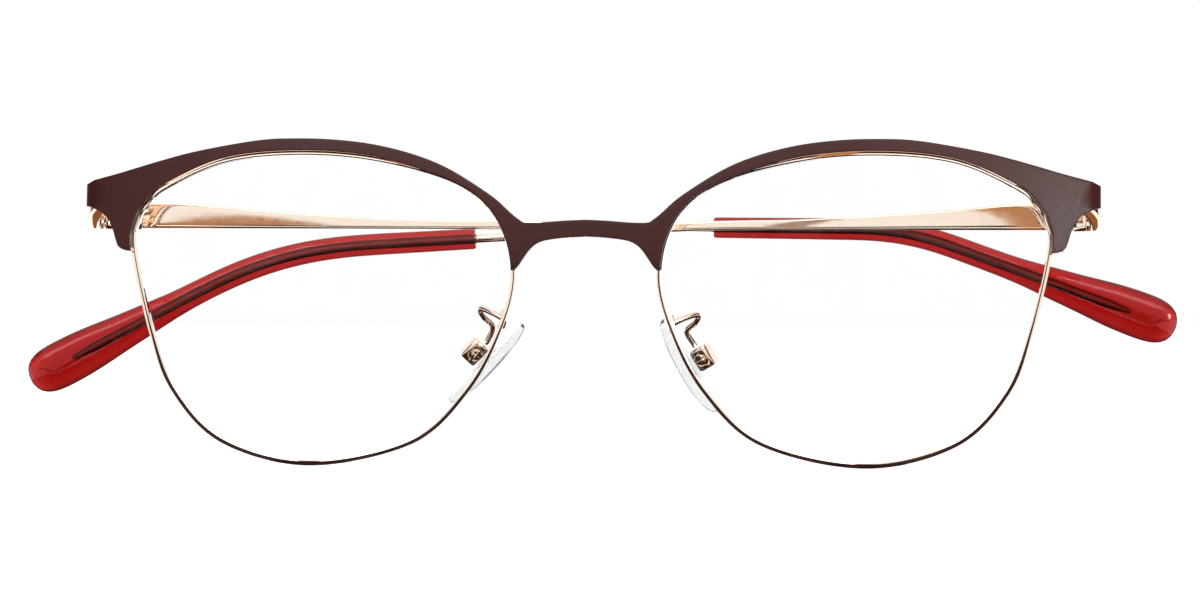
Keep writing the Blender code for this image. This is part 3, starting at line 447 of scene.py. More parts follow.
class TempleShape:
    """The line that a temple follows, and where its pieces lie once it is folded."""

    def __init__(self, side):
        self.sizes = bpy.context.scene.temple_sizes
        self.sign = SIDES[side]
        self.droop, self.ear_start, self.ear_length, self.ear_bend, lean = (
            getattr(self.sizes, f"{side}_{name}")
            for name in ("droop", "ear_start", "ear_length", "ear_bend", "fold_lean")
        )
        hinge = JOINTS[f"temple_hinge_{side}"]["pos_m"]
        turn = Euler((0, 0, self.sign * (math.pi / 2 - lean))).to_matrix().to_4x4()
        self.folded = Matrix.Translation(hinge) @ turn

    def core(self, distance):
        """The core line's point and downward angle at a distance along it."""
        sizes = self.sizes
        steps = 60
        height, reach, turn = -sizes.line_drop, 0.0, 0.0
        for step in range(steps):
            travelled = distance * (step + 0.5) / steps
            turn = self.droop * eased(travelled, sizes.droop_start, sizes.droop_length)
            turn += self.ear_bend * eased(travelled, self.ear_start, self.ear_length)
            reach += math.cos(turn) * distance / steps
            height -= math.sin(turn) * distance / steps
        past = max(0.0, distance - sizes.strip_length) / (sizes.length - sizes.strip_length)
        outward = sizes.hinge_offset + sizes.thickness / 2 - sizes.inward_bend * past ** 2
        return Vector((outward, reach, height)), turn

    def place(self, station, out, up):
        """A point of a section that stands square on the core line, in the frame."""
        middle, turn = station
        return self.folded @ Vector((
            self.sign * (middle.x + out),
            middle.y + up * math.sin(turn),
            middle.z + up * math.cos(turn),
        ))


def sweep(stations, count, place, local=None):
    """A closed solid made by extruding a face of count corners from station to station.

    place(station, corner) gives each corner's point. local(station, corner) gives the point's
    place along and across the piece, kept as the attribute "local" where a pattern needs it.
    """
    bm = bmesh.new()
    corner_of = bm.verts.layers.int.new("corner")
    local_of = local and bm.verts.layers.float_vector.new("local")
    corners = [bm.verts.new() for _ in range(count)]
    for corner, vert in enumerate(corners):
        vert[corner_of] = corner
    face = bm.faces.new(corners)
    for index, station in enumerate(stations):
        if index:
            made = bmesh.ops.extrude_face_region(bm, geom=[face, *face.edges])
            face = next(item for item in made["geom"] if isinstance(item, bmesh.types.BMFace))
        for vert in face.verts:
            vert.co = place(station, vert[corner_of])
            if local:
                vert[local_of] = local(station, vert[corner_of])
    return bm


def placed(name, data):
    """An object of the scene that holds this mesh, lamp or camera."""
    made = bpy.data.objects.new(name, data)
    bpy.context.scene.collection.objects.link(made)
    return made


def mesh_object(name, bm, finishes):
    """An object made of this mesh in these finishes."""
    mesh = bpy.data.meshes.new(name)
    bm.to_mesh(mesh)
    bm.free()
    for finish in finishes:
        mesh.materials.append(finish)
    return placed(name, mesh)


def finish_piece(node, kind, bm, finishes, sharp=35):
    """Turn a mesh into a piece that rides where its CAD node does and stands for it."""
    bmesh.ops.remove_doubles(bm, verts=bm.verts[:], dist=1e-7)
    bm.normal_update()
    bmesh.ops.recalc_face_normals(bm, faces=bm.faces[:])
    piece = mesh_object(f"{node}_{kind}", bm, finishes)
    piece.data.shade_smooth()
    piece.data.set_sharp_from_angle(angle=math.radians(sharp))
    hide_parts(node)
    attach(piece, BODY_OF[node])


def plated_copy(node, edge_round, finish):
    """A small solid with its edges broken, as tumbling and plating leave them."""
    flat, crease = math.radians(1.5), math.radians(33)
    bm = bmesh.new()
    bm.from_mesh(frame["nodes"][node].data)
    bmesh.ops.remove_doubles(bm, verts=bm.verts[:], dist=1e-6)
    bmesh.ops.dissolve_limit(bm, angle_limit=flat, verts=bm.verts[:], edges=bm.edges[:])
    edges = [edge for edge in bm.edges if edge.is_manifold and edge.calc_face_angle() > crease]
    bmesh.ops.bevel(
        bm, geom=edges, offset=edge_round, segments=2, profile=0.5, affect="EDGES",
        clamp_overlap=True, material=-1,
    )
    finish_piece(node, "plated", bm, [finish], sharp=40)


def add(tree, kind, inputs=None, settings=None, stops=()):
    """Add a shader node with values or links on its inputs, its settings and a ramp's stops.

    A node given as an input is linked by its first output.
    """
    made = tree.nodes.new("ShaderNode" + kind)
    for name, value in (settings or {}).items():
        setattr(made, name, value)
    for name, value in (inputs or {}).items():
        if isinstance(value, bpy.types.Node):
            value = next(socket for socket in value.outputs if socket.enabled)
        if isinstance(value, bpy.types.NodeSocket):
            tree.links.new(value, made.inputs[name])
        else:
            made.inputs[name].default_value = value
    for index, (place, value) in enumerate(stops):
        made.color_ramp.elements[index].position = place
        made.color_ramp.elements[index].color = value
    return made


def new_finish(name, stretch=None):
    """An empty material, its node tree, and the vector that its patterns follow.

    With stretch they run along a swept piece, and otherwise on Object coordinates.
    """
    made = bpy.data.materials.new(name)
    made.use_nodes = True
    tree = made.node_tree
    tree.nodes.clear()
    if stretch is None:
        return made, tree, add(tree, "TexCoord").outputs["Object"]
    local = add(tree, "Attribute", settings={"attribute_name": "local"}).outputs["Vector"]
    return made, tree, add(tree, "Mapping", {"Vector": local, "Scale": stretch})


def uneven(tree, noise, tones=(), rough=(), bump=()):
    """What a noise pattern gives its shader: colour, roughness and a bumpy normal.

    rough holds the least and greatest roughness and, unless they are 0 and 1, the pattern's
    values there. bump holds a strength and a depth in metres.
    """
    pattern = add(tree, "TexNoise", noise)
    looks = {}
    if tones:
        looks["Base Color"] = add(tree, "ValToRGB", {"Fac": pattern}, stops=tones)
    if rough:
        spans = zip(("To Min", "To Max", "From Min", "From Max"), rough)
        looks["Roughness"] = add(tree, "MapRange", {"Value": pattern, **dict(spans)})
    if bump:
        strength, depth = bump
        looks["Normal"] = add(tree, "Bump", {
            "Height": pattern, "Strength": strength, "Distance": depth,
        })
    return looks


def shaded(made, surface, **volume):
    """The material, once its shaders go to its output."""
    add(made.node_tree, "OutputMaterial", {"Surface": surface, **volume})
    return made


def grey(value):
    """A grey as a colour."""
    return (value, value, value, 1.0)


def toned(base, red, green, blue):
    """A colour with its red, green and blue changed by these factors."""
    return (base[0] * red, base[1] * green, base[2] * blue, 1.0)


@cache
def rose_gold_plating():
    """Stainless steel electroplated in rose gold and polished.

    It mirrors the studio, a touch softened by wiping marks.
    """
    made, tree, where = new_finish("rose_gold_plating")
    gold = bpy.context.scene.finishes.gold
    # Plating tone drifts over about 9 mm
    drift = {"Vector": where, "Scale": 110.0}
    looks = uneven(tree, drift, tones=((0.35, toned(gold, 0.98, 0.96, 0.93)), (0.65, gold)))
    # Wiping marks are a few hundredths of a millimetre; they are drawn 1 mm wide to show
    wiping = {"Vector": where, "Scale": 1000.0}
    looks |= uneven(tree, wiping, rough=(0.035, 0.07, 0.3, 0.7), bump=(0.005, 0.0001))
    return shaded(made, add(tree, "BsdfPrincipled", {**looks, "Metallic": 1.0}))


@cache
def core_steel():
    """Drawn steel wire, left unplated where the tip covers it: dull, with drawing lines."""
    # Drawing lines run along the wire, about 0.3 mm apart
    made, tree, along = new_finish("core_steel", stretch=(100.0, 3000.0, 3000.0))
    base = bpy.context.scene.finishes.core
    looks = uneven(
        tree, {"Vector": along, "Scale": 1.0},
        tones=((0.3, toned(base, 0.7, 0.7, 0.7)), (0.7, base)), rough=(0.4, 0.6),
    )
    return shaded(made, add(tree, "BsdfPrincipled", {**looks, "Metallic": 1.0}))


@cache
def burgundy_lacquer():
    """Sprayed satin lacquer on steel, in dark burgundy brown.

    The spray leaves a fine orange peel. The colour darkens on the edges, partly where the
    lacquer thins and partly as painted shade, and as painted shade round the bridge's lobes.
    """
    made, tree, where = new_finish("burgundy_lacquer")
    finishes = bpy.context.scene.finishes
    base = finishes.lacquer
    # Spray passes about 2 cm apart leave the tone slightly uneven
    looks = uneven(tree, {"Vector": where, "Scale": 45.0}, tones=(
        (0.3, toned(base, 0.88, 0.86, 0.86)), (0.7, toned(base, 1.1, 1.06, 1.06)),
    ))
    # Orange peel with cells of about 0.5 mm
    peel = {"Vector": where, "Scale": 2000.0, "Roughness": 0.4}
    looks |= uneven(tree, peel, rough=(0.32, 0.36, 0.3, 0.7), bump=(0.05, 0.0001))
    # Painted shade: the edge colour darkens the rounded edges and round the bridge's lobes
    edge = add(tree, "Attribute", settings={"attribute_name": "edge"}).outputs["Fac"]
    looks["Base Color"] = add(tree, "Mix", {
        "Factor": edge, "A": looks["Base Color"], "B": finishes.lacquer_edge_and_shade,
    }, {"data_type": "RGBA"})
    return shaded(made, add(tree, "BsdfPrincipled", {**looks, "Specular IOR Level": 0.22}))


@cache
def rim_lacquer_and_dark_reflection():
    """The same lacquer laid as a fine glossy line on the eye wire's face, widened at the bottom and beside the
    nose into a painted dark reflection.
    """
    made, tree, where = new_finish("rim_lacquer_and_dark_reflection")
    base = bpy.context.scene.finishes.rim_line_and_reflection
    # The brushed-on line is a little thinner here and there, over 3 mm
    looks = uneven(
        tree, {"Vector": where, "Scale": 330.0},
        tones=((0.35, base), (0.75, toned(base, 2.6, 1.8, 1.6))), rough=(0.16, 0.3),
    )
    return shaded(made, add(tree, "BsdfPrincipled", {**looks, "Specular IOR Level": 0.3}))


@cache
def lens_resin():
    """Clear lens resin with an anti-reflection coat: almost unseen but for its edge."""
    made, tree, where = new_finish("lens_resin")
    base = bpy.context.scene.finishes.resin
    # The coat's faint unevenness is over 4 mm
    looks = uneven(
        tree, {"Vector": where, "Scale": 250.0, "Detail": 1.0},
        tones=((0.3, base), (0.7, toned(base, 0.995, 1.0, 1.0))), rough=(0.0, 0.012),
    )
    # Resin is 1.5, but its coat leaves a third of a percent of shine, which 1.12 gives
    resin = add(tree, "BsdfPrincipled", {**looks, "IOR": 1.12, "Transmission Weight": 1.0})
    return shaded(made, add(tree, "MixShader", {
        "Fac": add(tree, "LightPath").outputs["Is Shadow Ray"], 1: resin,
        2: add(tree, "BsdfTransparent", {"Color": grey(0.97)}),
    }))


@cache
def red_acetate():
    """Injected translucent red acetate, polished: clear and glossy, deep red where thick."""
    # Flow lines of the injected plastic run along the tip, about 1 mm apart and 12 mm long
    made, tree, along = new_finish("polished_red_acetate", stretch=(80.0, 900.0, 900.0))
    finishes = bpy.context.scene.finishes
    base = finishes.acetate
    looks = uneven(
        tree, {"Vector": along, "Scale": 1.0, "Detail": 3.0},
        tones=((0.35, toned(base, 0.86, 0.6, 0.6)), (0.65, base)),
        rough=(0.02, 0.06), bump=(0.12, 0.0002),
    )
    # Painted shade: the tip's top and bottom edges are darkened
    local = add(tree, "Attribute", settings={"attribute_name": "local"}).outputs["Vector"]
    up = add(tree, "SeparateXYZ", {"Vector": local}).outputs["Z"]
    out = add(tree, "Math", {0: up}, {"operation": "ABSOLUTE"})
    edge_shade = add(tree, "MapRange", {
        "Value": out, "From Min": 0.0015, "From Max": 0.0025,
    }, {"interpolation_type": "SMOOTHSTEP"})
    looks["Base Color"] = add(tree, "Mix", {
        "Factor": edge_shade, "A": looks["Base Color"], "B": finishes.acetate_edge_shade,
    }, {"data_type": "RGBA"})
    # Acetate is 1.48, but 1.32 comes closer to the tips in the photograph
    acetate = add(tree, "BsdfPrincipled", {**looks, "IOR": 1.32, "Transmission Weight": 1.0})
    # A tip 2 mm thick lets about half the red through and next to no green or blue
    return shaded(made, acetate, Volume=add(tree, "VolumeAbsorption", {
        "Color": finishes.acetate_depth, "Density": 1900.0,
    }))


@cache
def clear_silicone():
    """Moulded clear silicone with a faint satin skin."""
    made, tree, where = new_finish("moulded_clear_silicone")
    base = bpy.context.scene.finishes.silicone
    # The mould's fine satin grain, drawn 0.3 mm coarse to show
    grain = {"Vector": where, "Scale": 3300.0}
    looks = uneven(tree, grain, rough=(0.06, 0.12), bump=(0.02, 0.0001))
    # Silicone clouds faintly over 2.5 mm
    looks |= uneven(tree, {"Vector": where, "Scale": 400.0, "Detail": 1.0}, tones=(
        (0.3, toned(base, 0.97, 0.98, 0.98)), (0.7, base),
    ))
    # Silicone is 1.41, but 1.15 comes closer to the pale pads in the photograph
    return shaded(made, add(tree, "BsdfPrincipled", {
        **looks, "IOR": 1.15, "Transmission Weight": 0.95,
    }))


def clear_rays(tree):
    """1 for what the camera sees, straight or in metal and glass, and 0 for other light."""
    rays = add(tree, "LightPath").outputs
    seen = rays["Is Camera Ray"]
    for other in ("Is Glossy Ray", "Is Transmission Ray"):
        seen = add(tree, "Math", {0: seen, 1: rays[other]}, {"operation": "MAXIMUM"})
    return seen


def studio_paper():
    """The white sheet the glasses stand on, cleared to white but for the faintest shadow."""
    made, tree, where = new_finish("studio_paper")
    # Paper fibre is drawn 1.5 mm coarse to show
    fibre = {"Vector": where, "Scale": 700.0, "Detail": 4.0}
    looks = uneven(tree, fibre, tones=((0.3, grey(0.9)), (0.7, grey(0.93))))
    lift = add(tree, "Math", {
        0: clear_rays(tree), 1: bpy.context.scene.studio.clearing,
    }, {"operation": "MULTIPLY"})
    return shaded(made, add(tree, "AddShader", {
        0: add(tree, "BsdfPrincipled", {**looks, "Roughness": 0.9, "Specular IOR Level": 0.1}),
        1: add(tree, "Emission", {"Strength": lift}),
    }))


def glowing_card(name, hex_colour):
    """A sheet for the studio that glows in the colour of a lit board, with no lamp, and only shows in what is
    glossy.
    """
    made, tree, where = new_finish(name)
    shade = linear(hex_colour)
    # Its tone wanders over 5 cm
    looks = uneven(tree, {"Vector": where, "Scale": 20.0}, tones=(
        (0.3, toned(shade, 0.85, 0.85, 0.85)), (0.7, shade),
    ))
    mirrored = add(tree, "Math", {
        0: add(tree, "LightPath").outputs["Glossy Depth"], 1: 1.0,
    }, {"operation": "MINIMUM"})
    return shaded(made, add(tree, "MixShader", {
        "Fac": mirrored, 1: add(tree, "BsdfTransparent"),
        2: add(tree, "Emission", {"Color": looks["Base Color"]}),
    }))


class GLASSES_OT_brow_bar(bpy.types.Operator):
    """Make the lacquered bar over both eyes"""

    bl_idname = "glasses.brow_bar"
    bl_label = "Brow Bar"

    def execute(self, context):
        shape = FrontShape()
        round_off = shape.sizes.brow_edge
        grid, lobe_shade_reach, rim_reach = 0.0015, 0.0016, 0.027
        upright, facing, edge_wear_and_shade = 0.1, 0.6, 1.5
        inner_x = shape.centre_x - 0.4 * shape.half_width
        bm = bmesh.new()
        corners = [bm.verts.new((p.x, shape.brow_back, p.y)) for p in shape.brow_outline()]
        plate = bm.faces.new(corners)
        made = bmesh.ops.extrude_face_region(bm, geom=[plate])
        front = next(item for item in made["geom"] if isinstance(item, bmesh.types.BMFace))
        forward = (0, shape.brow_front - shape.brow_back, 0)
        bmesh.ops.translate(bm, vec=forward, verts=front.verts[:])
        bmesh.ops.bevel(
            bm, geom=front.edges[:], offset=round_off, segments=4, profile=0.5,
            affect="EDGES", clamp_overlap=True, material=-1,
        )
        front = min(bm.faces, key=lambda face: face.calc_center_median().y)
        bmesh.ops.inset_region(
            bm, faces=[front], thickness=round_off, use_even_offset=True, use_boundary=True
        )
        # The plate is cut into a grid, so that it can follow the front's curve
        for axis in (0, 2):
            reach = [vert.co[axis] for vert in bm.verts]
            normal = Vector((axis == 0, 0, axis == 2))
            for index in range(math.ceil(min(reach) / grid), math.ceil(max(reach) / grid)):
                bmesh.ops.bisect_plane(
                    bm, geom=[*bm.verts, *bm.edges, *bm.faces], dist=1e-6,
                    plane_co=normal * index * grid, plane_no=normal,
                )
        # Its back, and its underside where it faces a lens closely, are plated
        bm.normal_update()
        for face in bm.faces:
            middle = face.calc_center_median()
            lens_x = math.copysign(shape.centre_x, middle.x)
            to_lens = Vector((lens_x - middle.x, 0, shape.centre_z - middle.z))
            wall = middle.y > shape.brow_front + round_off and abs(face.normal.y) < upright
            inner = wall and abs(face.normal.dot(to_lens.normalized())) > facing
            inner = inner and abs(middle.x) > inner_x
            if middle.y > shape.brow_back - 1e-6 or inner and to_lens.length < rim_reach:
                face.material_index = 1
        # The lacquer darkens on the rounded edge, partly where it thins and partly as painted shade, and as
        # painted shade where the bridge meets the rim
        edge = bm.verts.layers.float.new("edge")
        lobe = shape.bridge_points(BRIDGE_LOW_SHARES)[0]
        for vert in bm.verts:
            x, y, z = vert.co
            from_lobe = math.hypot(abs(x) - lobe.x, z - lobe.y)
            past_edge = (y - shape.brow_front) / round_off
            worn_and_shaded = max(1 - from_lobe / lobe_shade_reach, past_edge * edge_wear_and_shade)
            vert[edge] = min(1.0, max(0.0, worn_and_shaded))
            vert.co = shape.place(x, y + shape.wing_roll(x), z)
        finishes = [burgundy_lacquer(), rose_gold_plating()]
        finish_piece("brow_bar", "lacquered", bm, finishes, sharp=45)
        return {"FINISHED"}


class GLASSES_OT_rims(bpy.types.Operator):
    """Make the two eye wires with their lens grooves, lacquer lines and painted reflections"""

    bl_idname = "glasses.rims"
    bl_label = "Rims"

    def execute(self, context):
        shape = FrontShape()
        sizes = shape.sizes
        outline = shape.lens_outline()
        outline.append(outline[0])
        total = sum((b - a).length for a, b in zip(outline, outline[1:]))
        half_slit = sizes.rim_slit / 2 / total
        count = context.scene.studio.steps
        line = even_points(outline, count + 1, start=half_slit, end=1 - half_slit)
        out = outward_directions(line, closed=False)
        # The two ends of the split wire meet square
        out[0] = out[-1] = (out[0] + out[-1]).normalized()
        half, groove, cut = sizes.rim_depth / 2, sizes.groove_width / 2, 0.0001
        low, high = -sizes.rim_lip, sizes.rim_outset
        corner_round, slope, lens_round = 1.6, 1.2, 0.5
        inmost, outmost = 0.025, 0.975
        # Stretch of the wire under the brow bar's nose side that takes painted shade
        shade_start, shade_end = 0.29, 0.425
        walls = [
            (low, -groove), (sizes.groove_depth, 0.0), (low, groove), (low, half - cut),
            (low + cut, half), (high - cut, half), (high, half - cut),
            (high, -half + sizes.rim_crown * corner_round),
        ]

        def section(share):
            """The wire's section, with corners where the table has the lacquer line and its painted reflection."""
            middle, width = share_at(RIM_LINE_AND_REFLECTION_SHARES, share)
            a, b = middle - width, middle + width
            made = list(walls)
            for place in (
                1.0, outmost, (outmost + b) / 2, b, middle, a, (inmost + a) / 2, inmost,
            ):
                # The drawn wire slopes back towards its lens and is rounded on that side
                back = slope * (1 - place) + lens_round * max(0.0, 1 - 2 * place) ** 4
                made.append((low + (high - low) * place, -half + sizes.rim_crown * back))
            return made

        stations = [
            (total * index / count, line[index], out[index], section(index / count))
            for index in range(count + 1)
        ]
        # Faces on these corners take the lacquer line, partly a painted dark reflection
        painted = {len(walls) + 3, len(walls) + 4, len(walls) + 5}
        finishes = [rose_gold_plating(), rim_lacquer_and_dark_reflection()]
        for side, sign in SIDES.items():

            def place(station, corner):
                point, direction, corners = station[1:]
                reach, y = corners[corner]
                flat = point + direction * reach
                return shape.place(sign * flat.x, y, flat.y)

            def local(station, corner):
                return Vector((station[0], *station[3][corner]))

            bm = sweep(stations, len(stations[0][3]), place, local)
            corner_of = bm.verts.layers.int["corner"]
            local_of = bm.verts.layers.float_vector["local"]
            for face in bm.faces:
                if len(face.verts) > 4:
                    continue
                on_line = {vert[corner_of] for vert in face.verts} <= painted
                # Painted shade: under the brow bar's nose side the wire's whole front takes the dark line colour
                shaded_under_brow = all(
                    shade_start < vert[local_of].x / total < shade_end
                    and vert[local_of].z < -groove + 1e-6
                    for vert in face.verts
                )
                if on_line or shaded_under_brow:
                    face.material_index = 1
            finish_piece(f"rim_{side}", "wire", bm, finishes, sharp=50)
        return {"FINISHED"}


class GLASSES_OT_lenses(bpy.types.Operator):
    """Make the two clear lenses with their pointed edges"""

    bl_idname = "glasses.lenses"
    bl_label = "Lenses"

    def execute(self, context):
        shape = FrontShape()
        sizes = shape.sizes
        count = context.scene.studio.steps
        line = even_points(shape.lens_outline(), count, closed=True)
        out = outward_directions(line, closed=True)
        centre = Vector((shape.centre_x, shape.centre_z))
        half = sizes.lens_thickness / 2
        rings, pole = 12, 0.02
        shares = [pole, *[ring / rings for ring in range(1, rings + 1)]]
        stations = [(sizes.lens_bevel, share, -half) for share in shares]
        stations += [(0.0, 1.0, 0.0)]
        stations += [(sizes.lens_bevel, share, half) for share in reversed(shares)]
        for side, sign in SIDES.items():

            def place(station, corner):
                inset, share, y = station
                flat = centre + (line[corner] - out[corner] * inset - centre) * share
                return shape.place(sign * flat.x, y, flat.y)

            bm = sweep(stations, count, place)
            finish_piece(f"lens_{side}", "resin", bm, [lens_resin()], sharp=30)
        return {"FINISHED"}


class GLASSES_OT_temples(bpy.types.Operator):
    """Make the two tapered temple strips with the core wires in their tips"""

    bl_idname = "glasses.temples"
    bl_label = "Temples"

    def execute(self, context):
        sizes = context.scene.temple_sizes
        start, strip_end = sizes.butt_gap, sizes.strip_length
        core_end = sizes.length - sizes.core_margin
        heights = smooth_table(STRIP_HEIGHT_SHARES)
        corners, strip_steps, core_steps = 64, 90, 40
        slim_from, point_length = 0.4, 0.003
        distances = [
            start + (strip_end - start) * step / strip_steps for step in range(strip_steps + 1)
        ]
        distances += [
            strip_end + (core_end - strip_end) * step / core_steps
            for step in range(1, core_steps + 1)
        ]
        for side in SIDES:
            shape = TempleShape(side)
            stations = []
            for distance in distances:
                share = min(1.0, distance / strip_end)
                slim = min(1.0, max(0.0, (share - slim_from) / (1 - slim_from)))
                height = sizes.root_height * share_at(heights, share)
                half_width = sizes.thickness / 2 + (sizes.wire_radius - sizes.thickness / 2) * slim
                if distance > strip_end:
                    taper = 0.5 + 0.5 * min(1.0, (core_end - distance) / point_length)
                    height, half_width = height * taper, half_width * taper
                section = oval(half_width, height / 2, 8 - 6 * slim, corners)
                middle = max(0.0, height / 2 - sizes.wire_radius)
                stations.append((shape.core(distance), distance, [
                    (out, middle + up) for out, up in section
                ]))

            def place(station, corner):
                return shape.place(station[0], *station[2][corner])

            def local(station, corner):
                return Vector((station[1], *station[2][corner]))

            bm = sweep(stations, corners, place, local)
            local_of = bm.verts.layers.float_vector["local"]
            for face in bm.faces:
                if max(vert[local_of].x for vert in face.verts) > strip_end + 1e-5:
                    face.material_index = 1
            finish_piece(f"temple_{side}", "strip", bm, [rose_gold_plating(), core_steel()])
        return {"FINISHED"}


class GLASSES_OT_tips(bpy.types.Operator):
    """Make the two red acetate tips"""

    bl_idname = "glasses.tips"
    bl_label = "Temple Tips"

    def execute(self, context):
        sizes = context.scene.temple_sizes
        corners, roundness = 44, 2.4
        start = sizes.strip_length + sizes.butt_gap
        reach = sizes.length - start
        heights = smooth_table(TIP_HEIGHT_SHARES)
        widths = smooth_table(TIP_THICKNESS_SHARES)
        profile = even_points(
            [Vector((share * reach, value * sizes.tip_height / 2)) for share, value in heights], 90
        )
        mouth = oval(0.0007, 0.0009, roundness, corners)
        pattern = oval(0.0013, 0.0025, roundness, corners)
        mouth_round = 0.0003
        for side in SIDES:
            shape = TempleShape(side)
            # The tip's mouth closes on the wire, and its edge is eased off
            stations = [(shape.core(start), start, mouth)]
            for point in profile:
                share = max(0.0, min(1.0, point.x / reach))
                half_width = sizes.tip_thickness / 2 * max(0.0, share_at(widths, share))
                distance = start + point.x
                if point is profile[0]:
                    eased_off = oval(half_width * 0.86, point.y * 0.9, roundness, corners)
                    stations.append((shape.core(start), start, eased_off))
                    distance += mouth_round
                section = oval(half_width, max(0.0, point.y), roundness, corners)
                stations.append((shape.core(distance), distance, section))

            def place(station, corner):
                return shape.place(station[0], *station[2][corner])

            def local(station, corner):
                return Vector((station[1], *pattern[corner]))

            bm = sweep(stations, corners, place, local)
            finish_piece(f"temple_tip_{side}", "acetate", bm, [red_acetate()], sharp=50)
        return {"FINISHED"}


class GLASSES_OT_hardware(bpy.types.Operator):
    """Make the end pieces, closing blocks, hinges, pad boxes and screws"""

    bl_idname = "glasses.hardware"
    bl_label = "End Pieces, Hinges and Screws"

    def execute(self, context):
        rounds = {
            "end_piece": 0.00015, "rim_lock_upper": 0.00012, "rim_lock_lower": 0.00012,
            "rim_lock_screw": 0.00004, "front_hinge": 0.00007, "temple_hinge": 0.00007,
            "hinge_screw": 0.00005, "pad_box": 0.00028, "pad_screw": 0.00005,
        }
        for side in SIDES:
            for name, edge_round in rounds.items():
                plated_copy(f"{name}_{side}", edge_round, rose_gold_plating())
        return {"FINISHED"}


def pad_turn(side):
    """The turn that every piece of a nose pad shares."""
    sizes = bpy.context.scene.pad_sizes
    sign = SIDES[side]
    lean = Matrix.Rotation(-sign * getattr(sizes, f"{side}_lean"), 3, "Y")
    return lean @ Matrix.Rotation(-sign * sizes.splay, 3, "Z")


class GLASSES_OT_pad_arms(bpy.types.Operator):
    """Make the two bent wires that hold the nose pads"""

    bl_idname = "glasses.pad_arms"
    bl_label = "Pad Arms"

    def execute(self, context):
        sizes = context.scene.pad_sizes
        shape = FrontShape()
        corners = 20
        inner = [point for point in shape.lens_outline() if point.x < shape.centre_x]
        gap = shape.sizes.seat_gap
        foot = oval(sizes.arm_radius, sizes.arm_foot / 2, power=3, steps=corners)
        wire = oval(sizes.arm_radius, sizes.arm_radius, power=2, steps=corners)
        for side, sign in SIDES.items():
            root_z = shape.centre_z - getattr(sizes, f"{side}_arm_drop")
            nearest = min(inner, key=lambda point: abs(point.y - root_z))
            mirror = Matrix.Diagonal((sign, 1, 1))
            rim_back = shape.sizes.rim_depth / 2
            start = shape.place(nearest.x, rim_back + gap, root_z) - FRONT_ORIGIN
            screw = Vector(JOINTS[f"nose_pad_rock_{side}"]["pos_m"]) - FRONT_ORIGIN
            seat = pad_turn(side) @ Vector((0, 0, sizes.box_top))
            end = mirror @ (screw + seat)
            above = mirror @ seat.normalized() * sizes.arm_radius * 1.5
            span = end - start
            route = [start + Vector((0, sizes.arm_foot_thickness, 0))]
            for out, back, down in PAD_ARM_SHARES:
                route.append(start + Vector((span.x * out, span.y * back, span.z * down)))
            line = even_points(smooth_curve([*route, end + above, end], steps=12), count=70)
            # The foot's flat stands on the rim with its edge eased off, then the wire bends away
            rings = [
                [start + Vector((x * share, y, z * share)) for x, z in foot]
                for y, share in ((-gap, 1.0), (0.0, 1.0), (0.0003, 0.97), (0.0004, 0.85))
            ]
            up = Vector((0, 0, 1))
            for index, point in enumerate(line):
                along = line[min(index + 1, len(line) - 1)] - line[max(index - 1, 0)]
                along.normalize()
                across = up.cross(along).normalized()
                up = along.cross(across).normalized()
                rings.append([point - across * x + up * z for x, z in wire])

            def place(ring, corner):
                return FRONT_ORIGIN + mirror @ ring[corner]

            bm = sweep(rings, corners, place)
            finish_piece(f"pad_arm_{side}", "wire", bm, [rose_gold_plating()], sharp=60)
        return {"FINISHED"}


class GLASSES_OT_nose_pads(bpy.types.Operator):
    """Make the two clear nose pads and the plates moulded into them"""

    bl_idname = "glasses.nose_pads"
    bl_label = "Nose Pads"

    def execute(self, context):
        sizes = context.scene.pad_sizes
        corners = 64
        pocket = oval(
            sizes.insert_thickness / 2 + sizes.pocket_gap,
            sizes.insert_foot / 2 + sizes.pocket_gap, power=6, steps=corners,
        )
        # A pad is egg-shaped, narrower at its top
        narrowing = 0.14
        egg = [
            (across * (1 - narrowing * up / sizes.height * 2), up)
            for across, up in oval(sizes.width / 2, sizes.height / 2, power=2.2, steps=corners)
        ]
        outer = -sizes.offset
        stations = [(pocket, 1.0, outer - sizes.pocket_depth), (pocket, 1.0, outer)]
        profile = smooth_curve([Vector(row) for row in PAD_PROFILE_SHARES], steps=6)
        stations += [
            (egg, share, outer - sizes.thickness * depth)
            for share, depth in even_points(profile, count=22)
        ]
        for side, sign in SIDES.items():
            spot = Vector(JOINTS[f"nose_pad_rock_{side}"]["pos_m"])
            turn = pad_turn(side)

            def place(station, corner):
                section, share, depth = station
                y, z = section[corner]
                return spot + turn @ Vector((sign * depth, share * y, share * z))

            bm = sweep(stations, corners, place)
            finish_piece(f"nose_pad_{side}", "silicone", bm, [clear_silicone()], sharp=50)
            plated_copy(f"pad_insert_{side}", 0.00006, clear_silicone())
        return {"FINISHED"}


def stage_sheet(name, corners, paper, card=True):
    """A flat sheet of the studio. A card is only seen in what is glossy."""
    bm = bmesh.new()
    bm.faces.new([bm.verts.new(corner) for corner in corners])
    sheet = mesh_object(name, bm, [paper])
    if card:
        sheet.visible_camera = sheet.visible_diffuse = sheet.visible_shadow = False


